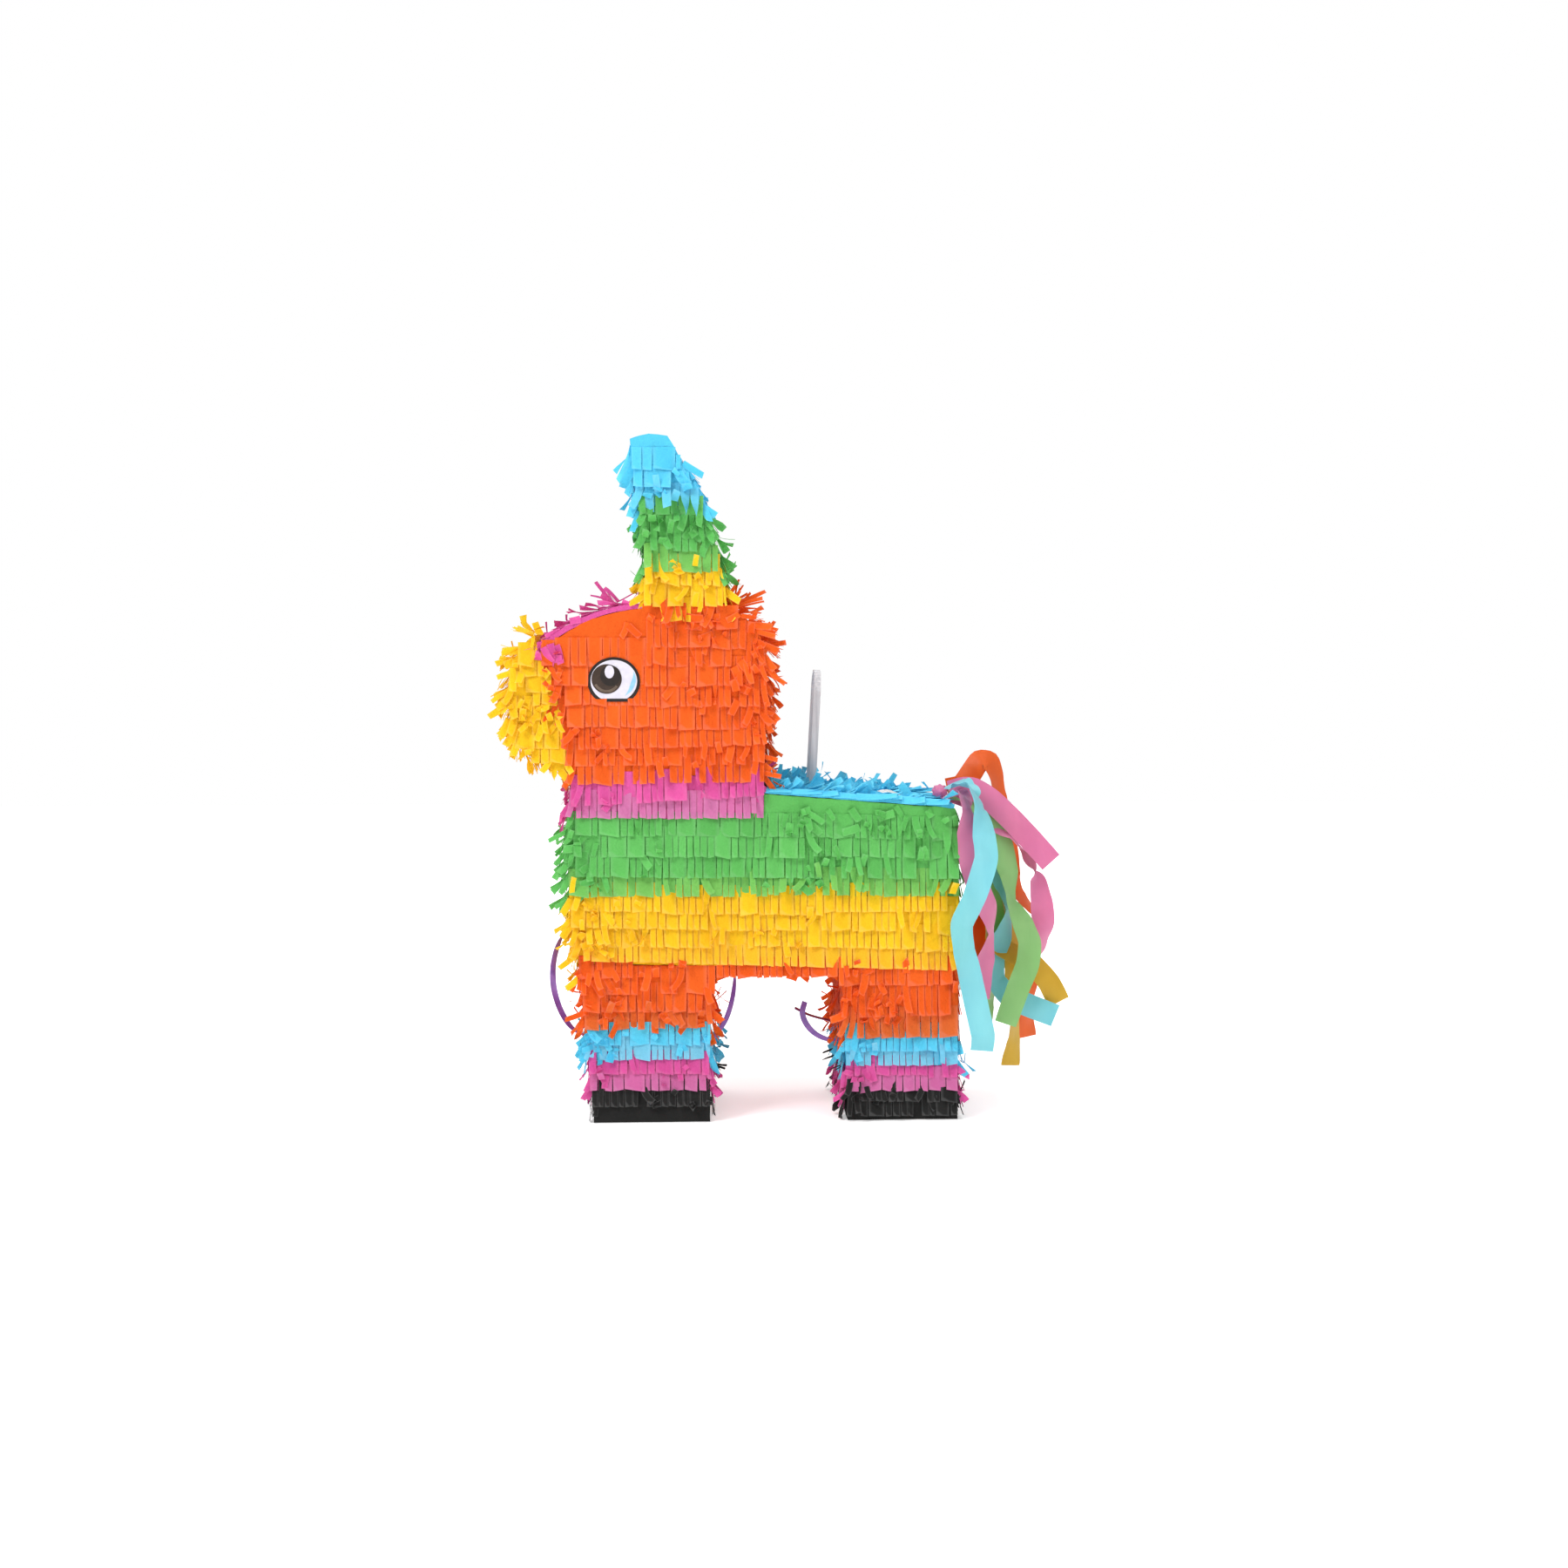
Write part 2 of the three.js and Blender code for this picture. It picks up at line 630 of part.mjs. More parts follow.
// Tail ribbon routes start at the knot: x back from it, y from the middle, z up from it.
const tailRoutes = [
  {
    name: "tail_pink_ribbon_a",
    colour: colours.pink,
    points: [
      [0, -9, 0],
      [12, -9, 3],
      [20, -9, 2],
      [33, -9, -6],
      [50, -12, -22],
      [66, -16, -39],
      [82, -20, -57],
    ],
  },
  {
    name: "tail_pink_ribbon_b",
    colour: colours.pink,
    points: [
      [0, -5, 0],
      [11, -5, -3],
      [21, -5, -7],
      [35, -5, -19],
      [49, -6, -35],
      [63, -7, -52],
      [72, -8, -68],
      [76, -9, -89],
      [78, -10, -111],
      [75, -11, -129],
      [67, -12, -143],
    ],
  },
  {
    name: "tail_pink_ribbon_c",
    colour: colours.pink,
    points: [
      [0.5, -12, -1],
      [3.5, -35, 0],
      [5.5, -55, -1.5],
      [7, -66.5, -10],
      [7.5, -67, -28],
      [10, -66, -50],
      [17, -61, -72],
      [26, -54, -92],
      [29, -50, -110],
      [25, -50, -130],
      [21, -50, -150],
      [19, -50, -163],
    ],
  },
  {
    name: "tail_green_ribbon_a",
    colour: colours.green,
    points: [
      [0, -7, 0],
      [11, -7, -1],
      [21, -7, -7],
      [34, -7, -21],
      [43, -8, -42],
      [48, -12, -66],
      [50, -18, -88],
      [58, -23, -105],
      [64, -26, -122],
      [62, -28, -140],
      [54, -29, -160],
      [44, -30, -188],
    ],
  },
  {
    name: "tail_green_ribbon_b",
    colour: colours.green,
    points: [
      [0, 1, 0],
      [12, 1, -2],
      [20, 1, -14],
      [24, 1, -34],
      [28, 1, -59],
      [35, 1, -80],
      [42, 2, -109],
      [45, 2, -134],
      [41, 3, -159],
      [34, 3, -180],
      [30, 4, -197],
    ],
  },
  {
    name: "tail_blue_ribbon_a",
    colour: colours.blue,
    points: [
      [3, -12, 7],
      [7, -35, 8.5],
      [12, -58, 6],
      [16, -71, -8],
      [19, -74, -28],
      [21, -75, -48],
      [12, -75, -78],
      [2, -75, -100],
      [4, -74, -120],
      [9, -73, -141],
      [15, -72, -168],
      [20, -71, -190],
      [19, -71, -202],
    ],
  },
  {
    name: "tail_blue_ribbon_b",
    colour: colours.blue,
    points: [
      [0, -3, 0],
      [11, -3, -1],
      [21, -3, -10],
      [29, -3, -30],
      [37, -4, -54],
      [46, -5, -79],
      [49, -6, -99],
      [45, -7, -118],
      [38, -8, -137],
      [40, -9, -157],
      [52, -10, -170],
      [70, -11, -178],
      [88, -12, -185],
    ],
  },
  {
    name: "tail_yellow_ribbon_a",
    colour: colours.yellow,
    points: [
      [0, -1, 0],
      [12, -1, -3],
      [19, -1, -13],
      [24, -1, -33],
      [26, -1, -58],
      [26, -2, -80],
      [29, -2, -101],
      [33, -3, -119],
      [43, -3, -129],
      [58, -4, -136],
      [72, -4, -145],
      [84, -5, -159],
      [92, -5, -175],
    ],
  },
  {
    name: "tail_yellow_ribbon_b",
    colour: colours.yellow,
    points: [
      [0, 3, 0],
      [12, 3, -2],
      [21, 3, -15],
      [27, 3, -34],
      [35, 3, -55],
      [44, 4, -77],
      [51, 4, -102],
      [55, 5, -130],
      [57, 6, -159],
      [58, 7, -184],
      [57, 8, -206],
      [54, 8, -230],
    ],
  },
  {
    name: "tail_orange_ribbon_a",
    colour: colours.orange,
    sideways: true,
    points: [
      [1, 16, 0],
      [13, 16, 3],
      [21, 16, 14],
      [28, 16, 24],
      [37, 16, 23],
      [42, 16, 11],
      [45, 16, -6],
      [49, 17, -27],
      [52, 18, -49],
      [55, 20, -75],
      [66, 22, -93],
      [76, 24, -105],
      [80, 26, -122],
      [75, 28, -139],
      [72, 30, -159],
      [71, 32, -185],
      [72, 34, -211],
    ],
  },
  {
    name: "tail_orange_ribbon_b",
    colour: colours.orange,
    points: [
      [0, 4.8, 0],
      [12, 4.8, -3],
      [19, 4.8, -16],
      [23, 5, -34],
      [24, 5, -59],
      [23, 5, -84],
      [24, 5, -109],
      [26, 5, -135],
      [28, 5.5, -160],
      [26, 6, -182],
    ],
  },
];

// Curling ribbon routes: x from the front of the chest, y from the middle, z from the floor.
const curlRoutes = [
  {
    name: "chest_curl_ribbon",
    points: [
      [-5.5, -20, 152],
      [-12, -20, 145],
      [-17, -20, 134],
      [-20, -20, 120],
      [-20, -20, 105],
      [-17, -20, 91],
      [-12, -20, 79],
      [-5, -20, 69],
      [4.5, -20, 63],
    ],
  },
  {
    name: "front_leg_curl_ribbon",
    points: [
      [127, -20, 114],
      [126.5, -20, 103],
      [124.5, -20, 90],
      [120.5, -20, 77],
      [115, -20, 67],
      [109.5, -20, 60],
    ],
  },
  {
    name: "rear_leg_curl_ribbon_a",
    points: [
      [212, -20, 57],
      [202, -20, 58],
      [192, -20, 63],
      [185, -20, 71],
      [182, -20, 80],
      [184, -20, 89],
    ],
  },
  {
    name: "rear_leg_curl_ribbon_b",
    points: [
      [212, -14, 71],
      [202, -14, 73],
      [188, -14, 77],
      [176, -14, 83],
    ],
  },
];

function ribbons() {
  const tailX = rumpTop.x + tailStartBack;
  const tailZ = rumpTop.y + tailStartUp;
  const widen = halfWidth / routeHalfWidth;
  const heighten = legHeight / routeLegHeight;
  for (const route of tailRoutes) {
    const points = route.points.map(([x, y, z]) => [tailX + x, widen * y, tailZ + z]);
    ribbon({ ...route, width: tailRibbonWidth, points });
  }
  for (const route of curlRoutes) {
    const points = route.points.map(([x, y, z]) => [x, widen * y, heighten * z]);
    ribbon({ ...route, width: curlRibbonWidth, colour: colours.purple, points });
  }
}

sidePanels();
edgeStrips();
soles();
backSheets();
fillDoor();
hangerStrap();
earPaper();
headPaper();
collarPaper();
bodyPaper();
legPaper();
eyes();
tailKnot();

// The origin is under the middle of everything but the ribbons.
const box = new THREE.Box3().setFromObject(donkey);
donkey.position.x = -(box.min.x + box.max.x) / 2;
ribbons();

const part = new THREE.Group();
part.add(donkey);

export default part;
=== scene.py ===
import json
import math
import random

import bmesh
import bpy
import numpy as np
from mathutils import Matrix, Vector, noise


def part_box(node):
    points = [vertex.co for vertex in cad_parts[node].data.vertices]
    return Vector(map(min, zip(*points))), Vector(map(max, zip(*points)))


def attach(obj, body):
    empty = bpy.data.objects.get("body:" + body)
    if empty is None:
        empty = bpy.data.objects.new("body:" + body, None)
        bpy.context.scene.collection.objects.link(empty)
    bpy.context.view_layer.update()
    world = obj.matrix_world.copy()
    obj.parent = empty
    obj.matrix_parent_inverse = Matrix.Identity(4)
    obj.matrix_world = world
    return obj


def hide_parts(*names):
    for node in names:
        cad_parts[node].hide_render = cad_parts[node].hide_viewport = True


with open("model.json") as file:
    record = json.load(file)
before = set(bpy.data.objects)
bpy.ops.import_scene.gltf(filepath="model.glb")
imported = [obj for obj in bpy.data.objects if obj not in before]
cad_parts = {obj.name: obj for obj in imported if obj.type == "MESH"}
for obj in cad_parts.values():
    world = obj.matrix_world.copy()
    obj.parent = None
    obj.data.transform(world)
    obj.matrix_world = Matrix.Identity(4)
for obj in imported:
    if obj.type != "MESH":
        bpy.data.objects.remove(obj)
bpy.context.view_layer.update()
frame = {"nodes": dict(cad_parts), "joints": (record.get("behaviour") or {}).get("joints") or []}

mm = 0.001
sideways = Vector((1, 0, 0))
depthways = Vector((0, 1, 0))
upward = Vector((0, 0, 1))


viewpoint = {"lens": 50.2, "sensor": 36, "stands": (-44.4, -1781, 397), "looksAt": (38.6, -62, 270)}


def placeCamera(options):
    data = bpy.data.cameras.new("studioCamera")
    data.lens = options["lens"]
    data.sensor_width = options["sensor"]
    camera = bpy.data.objects.new("studioCamera", data)
    bpy.context.scene.collection.objects.link(camera)
    camera.location = Vector(options["stands"]) * mm
    gaze = (Vector(options["looksAt"]) - Vector(options["stands"])).to_track_quat("-Z", "Y")
    camera.rotation_euler = gaze.to_euler()
    bpy.context.scene.camera = camera


def hexColour(code):
    parts = [int(code[i:i + 2], 16) / 255 for i in (0, 2, 4)]
    linear = [p / 12.92 if p <= 0.04045 else ((p + 0.055) / 1.055) ** 2.4 for p in parts]
    return (*linear, 1)


def newFinish(name, roughness, specular):
    material = bpy.data.materials.new(name)
    material.use_nodes = True
    shader = material.node_tree.nodes["Principled BSDF"]
    shader.inputs["Roughness"].default_value = roughness
    shader.inputs["Specular IOR Level"].default_value = specular
    return material, material.node_tree, shader


def addNode(tree, kind, sockets=(), **settings):
    # a new node's outputs; sockets are (name or number, a value or another node's output)
    node = tree.nodes.new("ShaderNode" + kind)
    for name, value in settings.items():
        setattr(node, name, value)
    for name, value in sockets:
        if isinstance(value, bpy.types.NodeSocket):
            tree.links.new(value, node.inputs[name])
        else:
            node.inputs[name].default_value = value
    return node.outputs


def objectNoise(tree, scale, detail, stretch=(1, 1, 1)):
    place = addNode(tree, "TexCoord")["Object"]
    place = addNode(tree, "Mapping", [("Vector", place), ("Scale", stretch)])["Vector"]
    return addNode(tree, "TexNoise", [("Vector", place), ("Scale", scale), ("Detail", detail)])["Fac"]


def blendColours(tree, share, first, second):
    return addNode(tree, "Mix", [("Factor", share), (6, first), (7, second)], data_type="RGBA")[2]


def spreadValue(tree, value, fromLow, fromHigh, toLow, toHigh):
    ends = [("From Min", fromLow), ("From Max", fromHigh), ("To Min", toLow), ("To Max", toHigh)]
    return addNode(tree, "MapRange", [("Value", value), *ends])["Result"]


def addBump(tree, shader, layers):
    # layers are (height, strength, distance), the coarsest first
    normal = None
    for height, strength, distance in layers:
        below = [] if normal is None else [("Normal", normal)]
        sockets = [("Height", height), ("Strength", strength), ("Distance", distance), *below]
        normal = addNode(tree, "Bump", sockets)["Normal"]
    tree.links.new(normal, shader.inputs["Normal"])
    return normal


def letLightThrough(tree, shader, colour, normal, share):
    glow = addNode(tree, "BsdfTranslucent", [("Color", colour), ("Normal", normal)])["BSDF"]
    both = addNode(tree, "MixShader", [("Fac", share), (1, shader.outputs["BSDF"]), (2, glow)])["Shader"]
    tree.links.new(both, tree.nodes["Material Output"].inputs["Surface"])


tissue = {"roughness": 0.82, "specular": 0.22, "glow": 0.22, "toneMost": 0.5, "cloudMost": 0.16, "cutEdgeHighlight": 0.05}


def tissueFinish(name, base, veil, deep):
    # thin matte tissue: tone changes from tab to tab, cut edges paler as a painted highlight, fine crinkles, some
    # light let through
    material, tree, shader = newFinish(name, tissue["roughness"], tissue["specular"])
    marks = addNode(tree, "Attribute", attribute_name="paperToneAndHighlight")["Color"]
    tone, edge, thin = addNode(tree, "SeparateColor", [("Color", marks)])
    share = spreadValue(tree, tone, 0, 1, 0.0, tissue["toneMost"])
    colour = blendColours(tree, share, hexColour(base), hexColour(deep))
    colour = blendColours(tree, thin, colour, hexColour(veil))
    cloudy = spreadValue(tree, objectNoise(tree, 60, 3), 0.3, 0.7, 0.0, tissue["cloudMost"])
    colour = blendColours(tree, cloudy, colour, hexColour(deep))
    # painted highlight: the cut edges and tips are mixed toward white
    pale = spreadValue(tree, edge, 0.6, 1, 0.0, tissue["cutEdgeHighlight"])
    colour = blendColours(tree, pale, colour, (1, 1, 1, 1))
    tree.links.new(colour, shader.inputs["Base Color"])
    crease, crinkle, fibre = objectNoise(tree, 42, 5), objectNoise(tree, 170, 4), objectNoise(tree, 900, 2)
    normal = addBump(tree, shader, [(crease, 0.6, 0.009), (crinkle, 0.5, 0.0016), (fibre, 0.25, 0.0003)])
    letLightThrough(tree, shader, colour, normal, tissue["glow"])
    return material


# mottle and grain are noises (scale, detail, stretch), grain with its strength and depth in metres;
# spread is the mottle's lower and upper end, then how much of the deeper tone shows at each
satin = {"roughness": 0.42, "specular": 0.4, "mottle": (45, 4, (1, 1, 0.35)), "spread": (0.3, 0.72, 0, 0.55),
         "grain": [((240, 3, (1, 1, 0.4)), 0.35, 0.0006), ((1400, 2), 0.2, 0.0002)], "glow": 0.4,
         "sockets": {"Sheen Weight": 0.25}}
glossy = {"roughness": 0.28, "specular": 0.5, "mottle": (120, 3), "spread": (0.35, 0.65, 0, 0.6),
          "grain": [((700, 2), 0.25, 0.0003)]}
milky = {"roughness": 0.3, "specular": 0.5, "mottle": (500, 2, (1, 1, 0.04)), "spread": (0.35, 0.65, 0, 1),
         "grain": [((500, 2, (1, 1, 0.04)), 0.25, 0.0003)], "sockets": {"Transmission Weight": 0.35, "IOR": 1.45}}
ink = {"roughness": 0.35, "specular": 0.45, "mottle": (260, 3), "spread": (0.35, 0.65, 0, 1),
       "grain": [((800, 2), 0.08, 0.0002)]}


def mottledFinish(name, look, base, deep):
    # two tones of a colour running into each other, over a fine grain
    material, tree, shader = newFinish(name, look["roughness"], look["specular"])
    for socket, value in look.get("sockets", {}).items():
        shader.inputs[socket].default_value = value
    share = spreadValue(tree, objectNoise(tree, *look["mottle"]), *look["spread"])
    colour = blendColours(tree, share, hexColour(base), hexColour(deep))
    tree.links.new(colour, shader.inputs["Base Color"])
    grain = [(objectNoise(tree, *texture), strength, depth) for texture, strength, depth in look["grain"]]
    normal = addBump(tree, shader, grain)
    if "glow" in look:
        letLightThrough(tree, shader, colour, normal, look["glow"])
    return material


def cardFinish(name):
    # kraft card: fibre flecks and the faint ridges of the flutes inside
    material, tree, shader = newFinish(name, 0.9, 0.15)
    fleck = spreadValue(tree, objectNoise(tree, 900, 3, (1, 1, 0.2)), 0.35, 0.75, 0, 0.5)
    cloud = spreadValue(tree, objectNoise(tree, 18, 3), 0.3, 0.7, 0, 0.35)
    colour = blendColours(tree, fleck, hexColour("B58F62"), hexColour("8E6A42"))
    colour = blendColours(tree, cloud, colour, hexColour("C6A275"))
    tree.links.new(colour, shader.inputs["Base Color"])
    place = addNode(tree, "TexCoord")["Object"]
    flutes = addNode(tree, "TexWave", [("Vector", place), ("Scale", 45)])["Fac"]
    addBump(tree, shader, [(flutes, 0.12, 0.0005), (objectNoise(tree, 1100, 3), 0.3, 0.0003)])
    return material


finishes = {
    "blueTissue": tissueFinish("blueTissue", "66D9F7", "8FCFE8", "3ABAE4"),
    "greenTissue": tissueFinish("greenTissue", "6FCB69", "8ACD62", "4BA248"),
    "yellowTissue": tissueFinish("yellowTissue", "FFD521", "FCC02C", "EBAC0E"),
    "orangeTissue": tissueFinish("orangeTissue", "FB6C20", "DE6E34", "DA4A08"),
    "magentaTissue": tissueFinish("magentaTissue", "EC62AE", "D67EB2", "C23E88"),
    "blackTissue": tissueFinish("blackTissue", "2C2C2B", "343433", "151515"),
    "pinkRibbon": mottledFinish("pinkRibbon", satin, "F096C0", "DC78AC"),
    "blueRibbon": mottledFinish("blueRibbon", satin, "9EEAF1", "74D0DF"),
    "greenRibbon": mottledFinish("greenRibbon", satin, "AFDF96", "86CA78"),
    "orangeRibbon": mottledFinish("orangeRibbon", satin, "F67A2A", "DB5A12"),
    "yellowRibbon": mottledFinish("yellowRibbon", satin, "E9C63F", "CFA722"),
    "purpleCurl": mottledFinish("purpleCurl", glossy, "8C62B6", "68459A"),
    "kraftCard": cardFinish("kraftCard"),
    "clearStrap": mottledFinish("clearStrap", milky, "E9E9EC", "D2D3D7"),
    "eyeWhite": mottledFinish("eyeWhite", ink, "D9D5E0", "CFCBD8"),
    "eyeLine": mottledFinish("eyeLine", ink, "1B1512", "241B17"),
    "eyeIris": mottledFinish("eyeIris", ink, "3E2E24", "33251D"),
    "eyeArc": mottledFinish("eyeArc", ink, "6B5B4E", "5E4F43"),
    "eyeBlue": mottledFinish("eyeBlue", ink, "9CCBE9", "8ABFE2"),
    "labelWhite": mottledFinish("labelWhite", dict(ink, roughness=0.25), "F4F4F2", "E4E4E0"),
}
print("finishes made")


def makePiece(name, points, faces, finishNames, faceFinish=None, smooth=True, body="donkey", slot=None, stands=()):
    mesh = bpy.data.meshes.new(name)
    mesh.from_pydata([tuple(p) for p in points], [], [tuple(int(i) for i in f) for f in faces])
    for finishName in finishNames:
        mesh.materials.append(finishes[finishName])
    if faceFinish is not None:
        mesh.polygons.foreach_set("material_index", np.asarray(faceFinish, np.int32))
    mesh.polygons.foreach_set("use_smooth", np.full(len(mesh.polygons), smooth))
    mesh.update()
    if smooth:
        mesh.set_sharp_from_angle(angle=math.radians(48))
    made = bpy.data.objects.new(name, mesh)
    bpy.context.scene.collection.objects.link(made)
    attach(made, body)
    if stands:
        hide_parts(*stands)
    return made


def smoothRoute(points, spacing, roundness=0.5):
    # a curved line through the points, sampled about every spacing; less roundness leaves it straighter between them
    line = [Vector(p) for p in points]
    line = [line[0] * 2 - line[1], *line, line[-1] * 2 - line[-2]]
    sampled = []
    for i in range(1, len(line) - 2):
        before, start, end, after = line[i - 1:i + 3]
        count = max(2, math.ceil((end - start).length / spacing))
        for step in range(count):
            t = step / count
            leave, arrive = (end - before) * roundness, (after - start) * roundness
            sampled.append(start * (2 * t ** 3 - 3 * t * t + 1) + leave * (t ** 3 - 2 * t * t + t)
                           + end * (3 * t * t - 2 * t ** 3) + arrive * (t ** 3 - t * t))
    return [*sampled, line[-2]]


def shellFaces(rows, wide):
    # closes two layers of points, each rows long and wide across, into one thin solid
    shift = rows * wide
    faces = []
    for i in range(rows - 1):
        for column in range(wide - 1):
            a = i * wide + column
            faces.append((a, a + 1, a + wide + 1, a + wide))
            faces.append((shift + a, shift + a + wide, shift + a + wide + 1, shift + a + 1))
        for a, flip in ((i * wide, True), (i * wide + wide - 1, False)):
            rim = (a, a + wide, shift + a + wide, shift + a)
            faces.append(rim if flip else rim[::-1])
    for row, flip in ((0, False), (rows - 1, True)):
        for column in range(wide - 1):
            a = row * wide + column
            rim = (a, shift + a, shift + a + 1, a + 1)
            faces.append(rim[::-1] if flip else rim)
    return faces


def ribbonMesh(route, width, turns, thickness, cup, ripple, rng, columns=4):
    # a flat strip along the route; turns gives the angle of its width from the depth axis, in degrees
    count = len(route)
    phase = rng.uniform(0, 50)
    top, bottom = [], []
    for i, centre in enumerate(route):
        along = (route[min(i + 1, count - 1)] - route[max(i - 1, 0)]).normalized()
        share = i / (count - 1) * (len(turns) - 1)
        low = min(int(share), len(turns) - 2)
        t = share - low
        t = t * t * (3 - 2 * t)
        angle = math.radians(turns[low] * (1 - t) + turns[low + 1] * t)
        flat = (depthways - depthways.dot(along) * along).normalized()
        across = flat * math.cos(angle) + along.cross(flat) * math.sin(angle)
        face = along.cross(across)
        rowTop, rowBottom = [], []
        for column in range(columns + 1):
            u = column / columns * 2 - 1
            wave = noise.noise(Vector((i * 0.35 + phase, u * 1.3, phase))) * ripple
            dip = (1 - u * u) * cup * math.sin(i * 0.21 + phase)
            spot = centre + across * (u * width / 2) + face * (wave + dip)
            rowTop.append(spot + face * thickness / 2)
            rowBottom.append(spot - face * thickness / 2)
        top.append(rowTop)
        bottom.append(rowBottom)
    return [p for row in top + bottom for p in row], shellFaces(count, columns + 1)


placeCamera(viewpoint)

knotLow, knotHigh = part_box("tail_knot")
donkeyMiddle = 126.37    # from the front of the chest to the middle of the donkey, along the floor

curlOptions = {"width": 4.8, "thickness": 0.35}
curls = {
    "chestCurl": {
        "node": "chest_curl_ribbon", "end": "object", "turns": [0, 55, 80, 60, 10],
        "route": [(-5.5, -20, 152), (-12, -20, 145), (-17, -20, 134), (-20, -20, 120), (-20, -20, 105),
                  (-17, -20, 91), (-12, -20, 79), (-5, -20, 69), (4.5, -20, 63)]},
    "frontLegCurl": {
        "node": "front_leg_curl_ribbon", "end": "object", "turns": [20, 50, 60, 40],
        "route": [(127, -20, 114), (126.5, -20, 103), (124.5, -20, 90), (120.5, -20, 77), (115, -20, 67),
                  (109.5, -20, 60)]},
    "rearLegCurlLow": {
        "node": "rear_leg_curl_ribbon_a", "end": "bare", "turns": [30, 60, 75, 60],
        "route": [(212, -20, 57), (202, -20, 58), (192, -20, 63), (185, -20, 71), (182, -20, 80), (184, -20, 89)]},
    "rearLegCurlHigh": {
        "node": "rear_leg_curl_ribbon_b", "end": "bare", "turns": [-7, -11, -15],
        "route": [(212, -14, 71), (202, -14, 73), (188, -14, 77), (176, -14, 83)]},
}


def makeCurls():
    for name, curl in curls.items():
        rng = random.Random(name)
        points = [((x - donkeyMiddle) * mm, y * mm, z * mm) for x, y, z in curl["route"]]
        route = smoothRoute(points, 2.5 * mm)
        width = curlOptions["width"] * mm
        strip = ribbonMesh(route, width, curl["turns"], curlOptions["thickness"] * mm, 0.5 * mm, 0.1 * mm, rng, 2)
        made = makePiece(name, *strip, ["purpleCurl"], slot="purple_curl_ribbon", stands=[curl["node"]])


makeCurls()
print("curling ribbons made")

